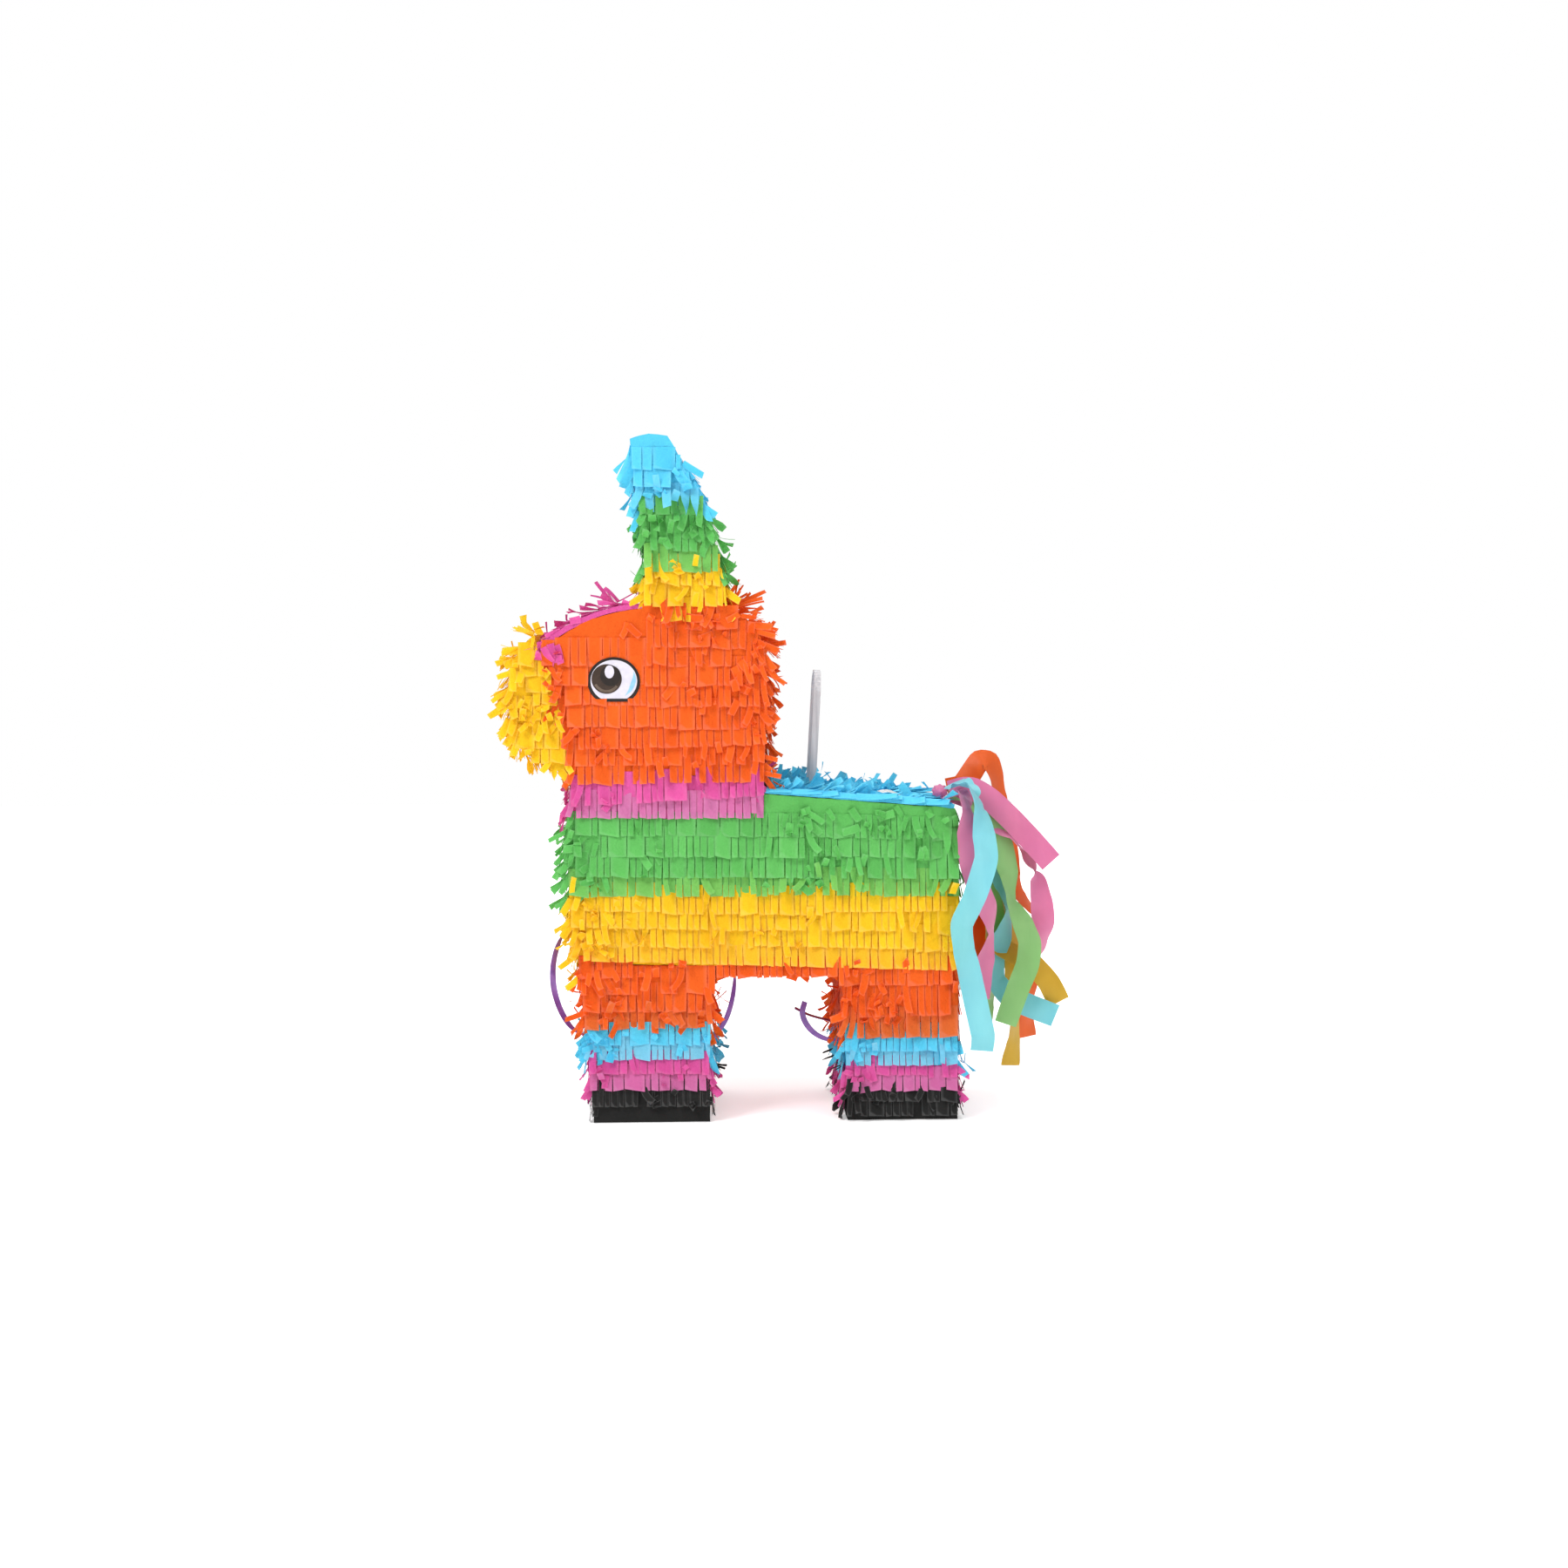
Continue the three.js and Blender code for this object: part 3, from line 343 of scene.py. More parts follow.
tailStart = Vector((knotHigh.x + 0.6 * mm, 0, (knotLow.z + knotHigh.z) / 2))
tailOptions = {"width": 19, "thickness": 0.25, "cup": 1.1, "ripple": 0.9, "roundness": 0.3}
tails = {
    "pinkTailWide": {
        "colour": "pink", "copy": "a", "turns": [70, 80, 95, 80],
        "route": [(0, -9, 0), (12, -9, 3), (20, -9, 2), (33, -9, -6), (50, -12, -22), (66, -16, -39),
                  (82, -20, -57)]},
    "pinkTailLong": {
        "colour": "pink", "copy": "b",
        "turns": [60, 80, 75, 10, -20, 60, 90, 40, 20],
        "route": [(0, -5, 0), (11, -5, -3), (21, -5, -7), (35, -5, -19), (49, -6, -35), (63, -7, -52), (72, -8, -68),
                  (76, -9, -89), (78, -10, -111), (75, -11, -129), (67, -12, -143)]},
    "pinkTailNear": {
        "colour": "pink", "copy": "c",
        "turns": [0, 10, 30, 75, 90, 70, 20, 60, 80],
        "route": [(0.5, -12, -1), (3.5, -35, 0), (5.5, -55, -1.5), (7, -66.5, -10), (7.5, -67, -28), (10, -66, -50),
                  (17, -61, -72), (26, -54, -92), (29, -50, -110), (25, -50, -130), (21, -50, -150),
                  (19, -50, -163)]},
    "greenTailWide": {
        "colour": "green", "copy": "a",
        "turns": [40, 60, 80, 70, 30, 70, 100, 90, 80],
        "route": [(0, -7, 0), (11, -7, -1), (21, -7, -7), (34, -7, -21), (43, -8, -42), (48, -12, -66),
                  (50, -18, -88), (58, -23, -105), (64, -26, -122), (62, -28, -140), (54, -29, -160),
                  (44, -30, -188)]},
    "greenTailInner": {
        "colour": "green", "copy": "b",
        "turns": [20, 50, 60, 80, 60, 20, 60],
        "route": [(0, 1, 0), (12, 1, -2), (20, 1, -14), (24, 1, -34), (28, 1, -59), (35, 1, -80), (42, 2, -109),
                  (45, 2, -134), (41, 3, -159), (34, 3, -180), (30, 4, -197)]},
    "blueTailNear": {
        "colour": "blue", "copy": "a",
        "turns": [0, 10, 25, 80, 95, 80, 70, 85, 95, 80],
        "route": [(3, -12, 7), (7, -35, 8.5), (12, -58, 6), (16, -71, -8), (19, -74, -28), (21, -75, -48),
                  (12, -75, -78), (2, -75, -100), (4, -74, -120), (9, -73, -141), (15, -72, -168), (20, -71, -190),
                  (19, -71, -202)]},
    "blueTailTurned": {
        "colour": "blue", "copy": "b",
        "turns": [30, 50, 80, 60, 20, 70, 60, 80, 95],
        "route": [(0, -3, 0), (11, -3, -1), (21, -3, -10), (29, -3, -30), (37, -4, -54), (46, -5, -79), (49, -6, -99),
                  (45, -7, -118), (38, -8, -137), (40, -9, -157), (52, -10, -170), (70, -11, -178), (88, -12, -185)]},
    "yellowTailOuter": {
        "colour": "yellow", "copy": "a",
        "turns": [20, 40, 60, 30, 10, 50, 70, 85],
        "route": [(0, -1, 0), (12, -1, -3), (19, -1, -13), (24, -1, -33), (26, -1, -58), (26, -2, -80),
                  (29, -2, -101), (33, -3, -119), (43, -3, -129), (58, -4, -136), (72, -4, -145), (84, -5, -159),
                  (92, -5, -175)]},
    "yellowTailInner": {
        "colour": "yellow", "copy": "b",
        "turns": [0, 40, 60, 20, 50, 70, 30, 60],
        "route": [(0, 3, 0), (12, 3, -2), (21, 3, -15), (27, 3, -34), (35, 3, -55), (44, 4, -77), (51, 4, -102),
                  (55, 5, -130), (57, 6, -159), (58, 7, -184), (57, 8, -206), (54, 8, -230)]},
    "orangeTailLoop": {
        "colour": "orange", "copy": "a",
        "turns": [80, 70, 60, 40, 50, 70, 80, 30, 10, 50, 80, 40, 60],
        "route": [(1, 16, 0), (13, 16, 3), (21, 16, 14), (28, 16, 24), (37, 16, 23), (42, 16, 11), (45, 16, -6),
                  (49, 17, -27), (52, 18, -49), (55, 20, -75), (66, 22, -93), (76, 24, -105), (80, 26, -122),
                  (75, 28, -139), (72, 30, -159), (71, 32, -185), (72, 34, -211)]},
    "orangeTailInner": {
        "colour": "orange", "copy": "b",
        "turns": [0, 50, 60, 30, 70, 80, 60],
        "route": [(0, 4.8, 0), (12, 4.8, -3), (19, 4.8, -16), (23, 5, -34), (24, 5, -59), (23, 5, -84),
                  (24, 5, -109), (26, 5, -135), (28, 5.5, -160), (26, 6, -182)]},
}


def makeTails():
    for name, tail in tails.items():
        rng = random.Random(name)
        points = [tailStart + Vector(p) * mm for p in tail["route"]]
        route = smoothRoute(points, 3 * mm, tailOptions["roundness"])
        width = tailOptions["width"] * mm
        strip = ribbonMesh(route, width, tail["turns"], tailOptions["thickness"] * mm, tailOptions["cup"] * mm,
                           tailOptions["ripple"] * mm, rng)
        made = makePiece(name, *strip, [tail["colour"] + "Ribbon"], slot=tail["colour"] + "_ribbon",
                         stands=[f"tail_{tail['colour']}_ribbon_{tail['copy']}"])


makeTails()
print("tail ribbons made")

paperNodes = sorted(n for n in frame["nodes"] if n.endswith("_paper"))
halfThick = -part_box("body_green_paper")[0].y


def sideShape(node):
    # the node's triangles that lie in the plane of the donkey's side
    mesh = frame["nodes"][node].data
    points = np.array([v.co for v in mesh.vertices])
    corners = points[np.array([p.vertices[:] for p in mesh.polygons])]
    flat = (np.abs(corners[:, :, 1] + halfThick) < 0.02 * mm).all(1)
    return corners[flat][:, :, [0, 2]].astype(float)


sideShapes = {node: sideShape(node) for node in paperNodes}


def spansAt(node, height):
    # where a level line at this height lies inside the node's side, as (start, end) pairs
    found = []
    for triangle in sideShapes[node]:
        low, high = triangle[:, 1].min(), triangle[:, 1].max()
        if not low <= height <= high or high - low < 1e-9:
            continue
        hits = []
        for i in range(3):
            a, b = triangle[i], triangle[(i + 1) % 3]
            if (a[1] - height) * (b[1] - height) <= 0 and abs(a[1] - b[1]) > 1e-12:
                hits.append(a[0] + (b[0] - a[0]) * (height - a[1]) / (b[1] - a[1]))
        if len(hits) > 1:
            found.append((min(hits), max(hits)))
    spans = []
    for start, end in sorted(found):
        if spans and start <= spans[-1][1] + 0.5 * mm:
            spans[-1][1] = max(spans[-1][1], end)
        else:
            spans.append([start, end])
    return [tuple(s) for s in spans if s[1] - s[0] > 1 * mm]


wholeSide = np.concatenate([sideShapes[node] for node in paperNodes])


def inside(triangles, x, z):
    turns = []
    for i in range(3):
        a, b = triangles[:, i], triangles[:, (i + 1) % 3]
        turns.append((b[:, 0] - a[:, 0]) * (z - a[:, 1]) - (b[:, 1] - a[:, 1]) * (x - a[:, 0]))
    turns = np.array(turns)
    return bool(((turns >= 0).all(0) | (turns <= 0).all(0)).any())


def outlineRuns(node):
    # the stretches of the donkey's outline that this node covers, each from its higher end down
    edges = {}
    for triangle in sideShapes[node]:
        keys = [tuple(np.round(corner, 6)) for corner in triangle]
        for i in range(3):
            a, b, other = keys[i], keys[(i + 1) % 3], keys[(i + 2) % 3]
            key = (min(a, b), max(a, b))
            edges[key] = None if key in edges else other
    outer = {}
    for (a, b), other in edges.items():
        if other is None:
            continue
        a2, b2 = Vector(a), Vector(b)
        if (b2 - a2).length < 1e-6:
            continue
        out = Vector(((b2 - a2).y, -(b2 - a2).x)).normalized()
        if out.dot(Vector(other) - a2) > 0:
            out = -out
        probe = (a2 + b2) / 2 + out * 1.6 * mm
        if inside(wholeSide, probe.x, probe.y) or (probe.y < 6 * mm and abs(out.y) > 0.9):
            continue
        outer.setdefault(a, []).append((b, out))
        outer.setdefault(b, []).append((a, out))
    runs, used = [], set()
    for start in sorted(outer, key=lambda k: (len(outer[k]), k)):
        here, run = start, [(Vector(start), None)]
        while True:
            onward = [(b, out) for b, out in outer[here] if frozenset((here, b)) not in used]
            if not onward:
                break
            there, out = onward[0]
            used.add(frozenset((here, there)))
            run.append((Vector(there), out))
            here = there
        if len(run) > 1:
            run[0] = (run[0][0], run[1][1])
            runs.append(run)
    split = []
    for run in runs:
        top = max(range(len(run)), key=lambda i: run[i][0].y)
        split += [run[top:], run[:top + 1][::-1]]
    return [run for run in split if len(run) > 1]


def walkRun(run, distance):
    # the point, the direction and the outward side at a distance along a run
    for i in range(len(run) - 1):
        step = run[i + 1][0] - run[i][0]
        if distance <= step.length or i == len(run) - 2:
            t = min(distance / max(step.length, 1e-9), 1)
            spot = run[i][0] + step * t
            out = (run[i][1] * (1 - t) + run[i + 1][1] * t).normalized()
            along = Vector((out.y, -out.x))
            if along.dot(step) < 0:
                along = -along
            return spot, along, out
        distance -= step.length


paper = {    # lengths in mm, angles in degrees; pairs are (least, most), or (middle, scatter) for calm tabs
    "tabWidth": (4.3, 6.7), "overlap": 8.5, "missing": 0.015, "stripLength": (50, 160), "cutGap": (0.02, 0.18),
    "joined": 0.2, "joinedWidth": (1.7, 3), "rowMost": 17, "edgeZone": 10, "proud": (8, 13), "glued": 0.12,
    "offFloor": 0.9, "calmLean": (8, 0.8), "calmCurl": (2, 5), "calmSway": 1.2, "calmTwist": 7,
}
# tabs at the outline's corners, fanned out in the plane of the side, at an angle from the way the outline runs down
flare = {"angle": (8, 58), "share": 0.6, "length": (9, 16), "width": (3.6, 6.4)}
tabRows = 5


# how a loose tab differs from a calm one: (what, least, most, and True where it goes either way), in degrees
looseKinds = {
    "flick": [("lean", 12, 45), ("curl", -50, 35), ("sway", -28, 28), ("twist", -50, 50)],
    "fold": [("lean", 4, 14), ("fold", 95, 160), ("foldAt", 0.35, 0.7), ("sway", -25, 25)],
    "turn": [("lean", 8, 25), ("twist", 70, 170, True), ("sway", -25, 25)],
    "aside": [("lean", 4, 18), ("sway", 25, 65, True), ("twist", -40, 40)],
}


def hanging(lean, curl, sway, twist, fold=0, foldAt=1):
    return {"lean": lean, "curl": curl, "sway": sway, "twist": twist, "fold": fold, "foldAt": foldAt}


def tabKind(rng, wild, lean):
    # how a tab hangs: mostly calm, and now and then flicked, folded, turned over or pushed sideways
    tab = hanging(rng.gauss(lean, paper["calmLean"][1] + lean * 0.15), rng.gauss(*paper["calmCurl"]),
                  rng.gauss(0, paper["calmSway"]), rng.gauss(0, paper["calmTwist"]), foldAt=0.5)
    if rng.random() > wild:
        return tab
    for name, least, most, *eitherWay in looseKinds[rng.choice(["flick", "flick", "fold", "turn", "aside"])]:
        sign = rng.choice([-1, 1]) if eitherWay else 1
        tab[name] = sign * rng.uniform(least, most) + (lean if name == "lean" else 0)
    return tab


def addTab(tabs, rng, root, along, across, out, width, length, hang, tone=None, thin=0.0, taper=0.04):
    tabs.append({
        "root": root, "along": along, "across": across, "out": out, "width": width, "length": length,
        "tone": rng.random() if tone is None else tone, "thin": thin, "taper": taper,
        "slant": rng.uniform(-0.1, 0.1), "cup": rng.uniform(-0.05, 0.07), **hang,
    })


strapLow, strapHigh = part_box("hanger_strap")
strapSwing = next(joint for joint in frame["joints"] if joint["child"] == "hanger_strap")


strapRoom = {"ahead": 1, "beside": 3, "above": 6, "foot": 4, "thickness": 5}


def clearOfStrap(points):
    # tabs in front of the hanger strap stop short of where its loop swings to
    pivotX, pivotZ = strapSwing["pos_m"][0], strapSwing["pos_m"][2]
    swing = math.radians(strapSwing["range_deg"][0])
    reach, height = strapHigh.x - strapRoom["thickness"] * mm - pivotX, strapHigh.z - pivotZ
    topX = pivotX + reach * math.cos(swing) + height * math.sin(swing)
    topZ = pivotZ - reach * math.sin(swing) + height * math.cos(swing)
    x, y, z = points[..., 0], points[..., 1], points[..., 2]
    limit = np.interp(z, (pivotZ, topZ), (strapLow.x, topX)) - strapRoom["ahead"] * mm
    near = (np.abs(y) < strapHigh.y + strapRoom["beside"] * mm) & (x < strapLow.x)
    near &= (z > pivotZ + strapRoom["foot"] * mm) & (z < topZ + strapRoom["above"] * mm)
    points[..., 0] = np.where(near, np.minimum(x, limit), x)


def tabArrays(tabs):
    # every tab's points at once: rows along it, three across it
    def column(name):
        return np.array([tab[name] for tab in tabs], float)

    def vectors(name):
        return np.array([tuple(tab[name]) for tab in tabs], float)

    spot, along, across, out = vectors("root"), vectors("along"), vectors("across"), vectors("out")
    start = spot.copy()
    width, length = column("width"), column("length")
    points = np.zeros((len(tabs), tabRows + 1, 3, 3))
    marks = np.zeros((len(tabs), tabRows + 1, 3, 4))
    marks[..., 0], marks[..., 2], marks[..., 3] = column("tone")[:, None, None], column("thin")[:, None, None], 1
    for row in range(tabRows + 1):
        t = row / tabRows
        free = max(0.0, (t - 0.2) / 0.8)
        folded = np.clip((t - column("foldAt")) / 0.15, 0, 1)
        lift = np.radians(column("lean") * min(1, 0.35 + t) + column("curl") * free ** 1.5 + column("fold") * folded)
        turn = np.radians(column("sway") * free)
        twist = np.radians(column("twist") * free ** 1.4)
        heading = along * np.cos(turn)[:, None] + across * np.sin(turn)[:, None]
        aside = across * np.cos(turn)[:, None] - along * np.sin(turn)[:, None]
        forward = heading * np.cos(lift)[:, None] + out * np.sin(lift)[:, None]
        face = out * np.cos(lift)[:, None] - heading * np.sin(lift)[:, None]
        rib = aside * np.cos(twist)[:, None] + face * np.sin(twist)[:, None]
        face = face * np.cos(twist)[:, None] - aside * np.sin(twist)[:, None]
        if row:
            spot = spot + forward * (length / tabRows)[:, None]
        under = paper["glued"] * mm - ((spot - start) * out).sum(1)
        spot = spot + out * np.maximum(under, 0)[:, None]
        wide = width * (1 - column("taper") * t) / 2
        for side in range(3):
            u = side - 1
            bow = face * ((1 - abs(u)) * column("cup") * width * free)[:, None]
            slip = forward * (u * column("slant") * width * (1 if row == tabRows else 0))[:, None]
            points[:, row, side] = spot + rib * (u * wide)[:, None] + bow + slip
            # channel 1 marks each tab's cut edges and tip, where the painted highlight goes
            marks[:, row, side, 1] = 1 if u or row == tabRows else 0
    points[..., 2] = np.maximum(points[..., 2], paper["offFloor"] * mm)
    clearOfStrap(points)
    # no tab stands further out from the sides than the paper's reach
    over = np.abs(points[..., 1]) - halfThick - paper["proud"][0] * mm
    room = (paper["proud"][1] - paper["proud"][0]) * mm
    held = halfThick + paper["proud"][0] * mm + room * np.tanh(np.maximum(over, 0) / room)
    points[..., 1] = np.where(over > 0, np.sign(points[..., 1]) * held, points[..., 1])
    perTab = (tabRows + 1) * 3
    quads = []
    for row in range(tabRows):
        for side in range(2):
            a = row * 3 + side
            quads.append((a, a + 1, a + 4, a + 3))
    faces = (np.array(quads)[None] + (np.arange(len(tabs)) * perTab)[:, None, None]).reshape(-1, 4)
    return points.reshape(-1, 3), faces, marks.reshape(-1, 4)


base = {"shrink": 0.1, "cell": 6, "wrinkle": 0.9, "offFloor": 0.5}    # the sheet under the tabs, in mm


def baseSheet(node, seed):
    # the solid's own surface, drawn in a little, cut into small cells and crumpled
    source = frame["nodes"][node].data
    mesh = bmesh.new()
    mesh.from_mesh(source)
    bmesh.ops.remove_doubles(mesh, verts=mesh.verts, dist=0.02 * mm)
    low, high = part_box(node)
    cell = base["cell"] * mm
    for axis in range(3):
        normal = Vector([1 if i == axis else 0 for i in range(3)])
        count = int((high[axis] - low[axis]) / cell)
        for i in range(1, count + 1):
            place = Vector([0, 0, 0])
            place[axis] = low[axis] + i * cell - 0.37 * cell
            everything = [*mesh.verts, *mesh.edges, *mesh.faces]
            bmesh.ops.bisect_plane(mesh, geom=everything, dist=1e-6, plane_co=place, plane_no=normal)
    mesh.normal_update()
    moves = []
    for vertex in mesh.verts:
        rough = noise.fractal(vertex.co * 90 + Vector((seed, 0, 0)), 1.0, 2.0, 3)
        moves.append(vertex.normal * (rough * base["wrinkle"] - base["shrink"]) * mm)
    for vertex, move in zip(mesh.verts, moves):
        vertex.co += move
        vertex.co.z = max(vertex.co.z, base["offFloor"] * mm)
    bmesh.ops.triangulate(mesh, faces=[f for f in mesh.faces if len(f.verts) > 4])
    mesh.verts.index_update()
    points = np.array([v.co for v in mesh.verts])
    faces = [tuple(v.index for v in f.verts) for f in mesh.faces]
    mesh.free()
    return points, faces


def paperPiece(name, band, tabs, body="donkey"):
    basePoints, baseFaces = baseSheet(band["node"], len(name))
    if band.get("toFloor"):    # the hoof's paper reaches down round the sole
        skirt = basePoints[:, 2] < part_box(band["node"])[0].z + 1 * mm
        basePoints[skirt, 2] = base["offFloor"] * mm
    baseMarks = np.tile(np.array([[0.5, 0.0, 0.0, 1.0]]), (len(basePoints), 1))
    tabPoints, tabFaces, tabMarks = tabArrays(tabs)
    points = np.concatenate([basePoints, tabPoints])
    faces = baseFaces + [tuple(f) for f in tabFaces + len(basePoints)]
    colour = band["node"].split("_")[-2]
    made = makePiece(name, points, faces, [colour + "Tissue"], body=body, slot=colour + "_tissue",
                     stands=[band["node"]])
    marks = made.data.attributes.new("paperToneAndHighlight", "FLOAT_COLOR", "POINT")
    marks.data.foreach_set("color", np.concatenate([baseMarks, tabMarks]).astype(np.float32).ravel())
    return made


eyeLow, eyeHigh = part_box("left_eye")
eyeCentre = ((eyeLow.x + eyeHigh.x) / 2, (eyeLow.z + eyeHigh.z) / 2)
eyeReach = ((eyeHigh.x - eyeLow.x) / 2, (eyeHigh.z - eyeLow.z) / 2)


eyeRoom = {"flat": 5, "calm": 15, "lean": 0.8, "curl": 9, "rise": 0.2}    # how tabs lie under and round the sticker


def underEye(x, z, grown):
    dx = (x - eyeCentre[0]) / (eyeReach[0] + grown * mm)
    dz = (z - eyeCentre[1]) / (eyeReach[1] + grown * mm)
    return dx * dx + dz * dz < 1


def sideRow(tabs, rng, band, side, row, above):
    # one row of tabs across a side: row is (tip height, tilt in degrees, first share, last share, wildness)
    tip, tilt, first, last, wild = (*row, *(0, 0, 0, 1, band["wild"])[len(row):])
    tabWidth = band.get("tabWidth", paper["tabWidth"])
    low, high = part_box(band["node"])
    lowest = row is band["rows"][0]
    length = (above - tip) * mm + paper["overlap"] * mm
    tipHeight = low.z + tip * mm
    level = min(max(tipHeight + 0.5 * length, low.z + 1 * mm), high.z - 1 * mm)
    level = low.z + band["level"] * mm if "level" in band else level
    for start, end in spansAt(band["node"], level):
        x = start + (end - start) * first
        stop = start + (end - start) * last
        middle = (start + end) / 2
        stripEnd = x
        while x < stop - 1.5 * mm:
            if x >= stripEnd:
                stripEnd = x + rng.uniform(*paper["stripLength"]) * mm
                raised, slope = rng.gauss(0, 0.7) * mm, rng.gauss(0, 0.008)
                stripTone, stripWild = rng.uniform(0, 0.4), wild * 3 * rng.random() ** 2
                stripLean = paper["calmLean"][0] + rng.uniform(-1.5, 2)
            width = rng.uniform(*tabWidth) * mm
            joined = rng.random() < paper["joined"]    # a place where the cuts haven't opened
            width = min(width * (rng.uniform(*paper["joinedWidth"]) if joined else 1), stop - x)
            centre = x + width / 2
            x += width
            reach = length * rng.uniform(0.985, 1.01)
            tipHere = tipHeight + math.tan(math.radians(tilt)) * (centre - middle)
            tipHere += raised + slope * (centre - stripEnd)
            glue = tipHere + length
            while reach > 6 * mm and not inside(wholeSide, centre, glue):
                glue -= 2 * mm
                reach -= 2 * mm
            nearEdge = min(centre - start, end - centre) < paper["edgeZone"] * mm
            loose = 0 if joined else max(stripWild, band["edgeWild"] if nearEdge else 0)
            hang = tabKind(rng, loose, stripLean + (5 if nearEdge else 0))
            if nearEdge and not joined and rng.random() < band["edgeWild"]:
                hang["sway"] = rng.uniform(6, 48) * (1 if centre > middle else -1)
            rise = rng.uniform(0.1, 0.5)
            covered = underEye(centre, glue, 0) and underEye(centre, tipHere, 0)
            touching = any(underEye(centre, glue - reach * t, eyeRoom["flat"]) for t in (0, 0.25, 0.5, 0.75, 1))
            if (covered or rng.random() < paper["missing"]) and not touching:
                continue
            if touching:    # the sticker lies over these
                curl = 0 if underEye(centre, tipHere, eyeRoom["flat"]) else eyeRoom["curl"]
                hang.update(lean=eyeRoom["lean"], curl=curl, sway=0, twist=0, fold=0)
                rise = eyeRoom["rise"]
            elif any(underEye(centre, glue - reach * t, eyeRoom["calm"]) for t in (0, 0.5, 1)):
                hang.update(lean=stripLean, curl=0, sway=0, twist=rng.uniform(-5, 5), fold=0)
            root = Vector((centre, side * (halfThick + rise * mm), glue))
            tone = min(1, stripTone + rng.uniform(0, 0.65))
            gap = rng.uniform(*paper["cutGap"]) * paper["tabWidth"][0] * mm
            addTab(tabs, rng, root, -upward, sideways, depthways * side, width - gap, reach, hang, tone,
                   band.get("thin", 0.75) * rng.uniform(0.7, 1) if lowest else 0)


def edgeRows(tabs, rng, band, run):
    # rows of tabs across the thickness, one below another down a stretch of the outline, flared at both corners
    total = sum((b[0] - a[0]).length for a, b in zip(run, run[1:]))
    pitch = band.get("edgePitch", 13) * mm
    length = pitch + paper["overlap"] * mm
    distance = rng.uniform(0, 0.3) * pitch
    while distance < total:
        spot, along, out = walkRun(run, distance)
        distance += pitch
        below = max(0.0, -out.y)
        calm = band.get("calmRump") and out.x > 0.9
        if (band.get("bareTop") and out.y > 0.75) or spot.y < band.get("quietBelow", 0) * mm:
            continue
        downWay, outWay = Vector((along.x, 0, along.y)), Vector((out.x, 0, out.y))
        across = depthways if downWay.cross(depthways).dot(outWay) < 0 else -depthways
        shift = rng.gauss(0, 0.8) * mm
        y = -halfThick
        while y < halfThick - 1.5 * mm:
            width = min(rng.uniform(*band.get("tabWidth", paper["tabWidth"])) * mm, halfThick - y)
            centre = y + width / 2
            y += width
            if rng.random() < paper["missing"]:
                continue
            lean = (5 if calm else band.get("edgeLean", 12)) * (1 - 0.6 * below)
            hang = tabKind(rng, 0.04 if calm else band["edgeWild"] * 0.4 * (1 - 0.7 * below), lean)
            root = Vector((spot.x, centre, spot.y)) + downWay * shift + outWay * rng.uniform(0.1, 0.6) * mm
            addTab(tabs, rng, root, downWay, across, outWay, width * 0.95, length * rng.uniform(0.94, 1.04), hang)
        fan = dict(flare, **band.get("flare", {}))
        for side in (-1, 1):
            share = 0.06 if calm else fan["share"] * (1 - 0.6 * below)
            for chance in (share, share * 0.6, share * 0.35):
                if rng.random() < chance:
                    angle = math.radians(rng.uniform(*fan["angle"]))
                    way = downWay * math.cos(angle) + outWay * math.sin(angle)
                    root = spot + along * rng.uniform(0, 0.8) * pitch - out * rng.uniform(0, 3) * mm
                    root = Vector((root.x, side * (halfThick + rng.uniform(-1.5, 0.8) * mm), root.y))
                    hang = hanging(rng.uniform(-3, 16), rng.uniform(-35, 35), rng.uniform(-16, 16), rng.gauss(0, 28))
                    wide, long = rng.uniform(*fan["width"]) * mm, rng.uniform(*fan["length"]) * mm
                    addTab(tabs, rng, root, way, way.cross(depthways), depthways * side, wide, long, hang)


def boxPlace(node, across, up):
    low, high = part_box(node)
    return low.x + (high.x - low.x) * across, low.z + (high.z - low.z) * up


scrapGap = 4    # how near the eye a scrap may lie, in mm


def addScraps(tabs, rng, band, across, up, count, aim, lengths, widths=(4, 6.8)):
    # loose, folded and crossed tabs over a patch of both sides; the patch is given in shares of the band's box
    for side in (-1, 1):
        for _ in range(count):
            x, z = boxPlace(band["node"], rng.uniform(*across), rng.uniform(*up))
            angle = math.radians(rng.uniform(*aim))
            way = -upward * math.cos(angle) + sideways * math.sin(angle)
            length = rng.uniform(*lengths) * mm
            hang = hanging(rng.uniform(4, 20), rng.uniform(-35, 30), rng.uniform(-22, 22), rng.gauss(0, 30),
                           rng.choice([0, 0, 110, 150]), rng.uniform(0.4, 0.7))
            tone, width = rng.random(), rng.uniform(*widths) * mm
            tip = (x + way.x * length, z + way.z * length)
            if not inside(wholeSide, x, z) or underEye(x, z, scrapGap) or underEye(*tip, scrapGap):
                continue
            root = Vector((x, side * (halfThick + rng.uniform(1, 2.4) * mm), z))
            addTab(tabs, rng, root, way, way.cross(depthways), depthways * side, width, length, hang, tone)


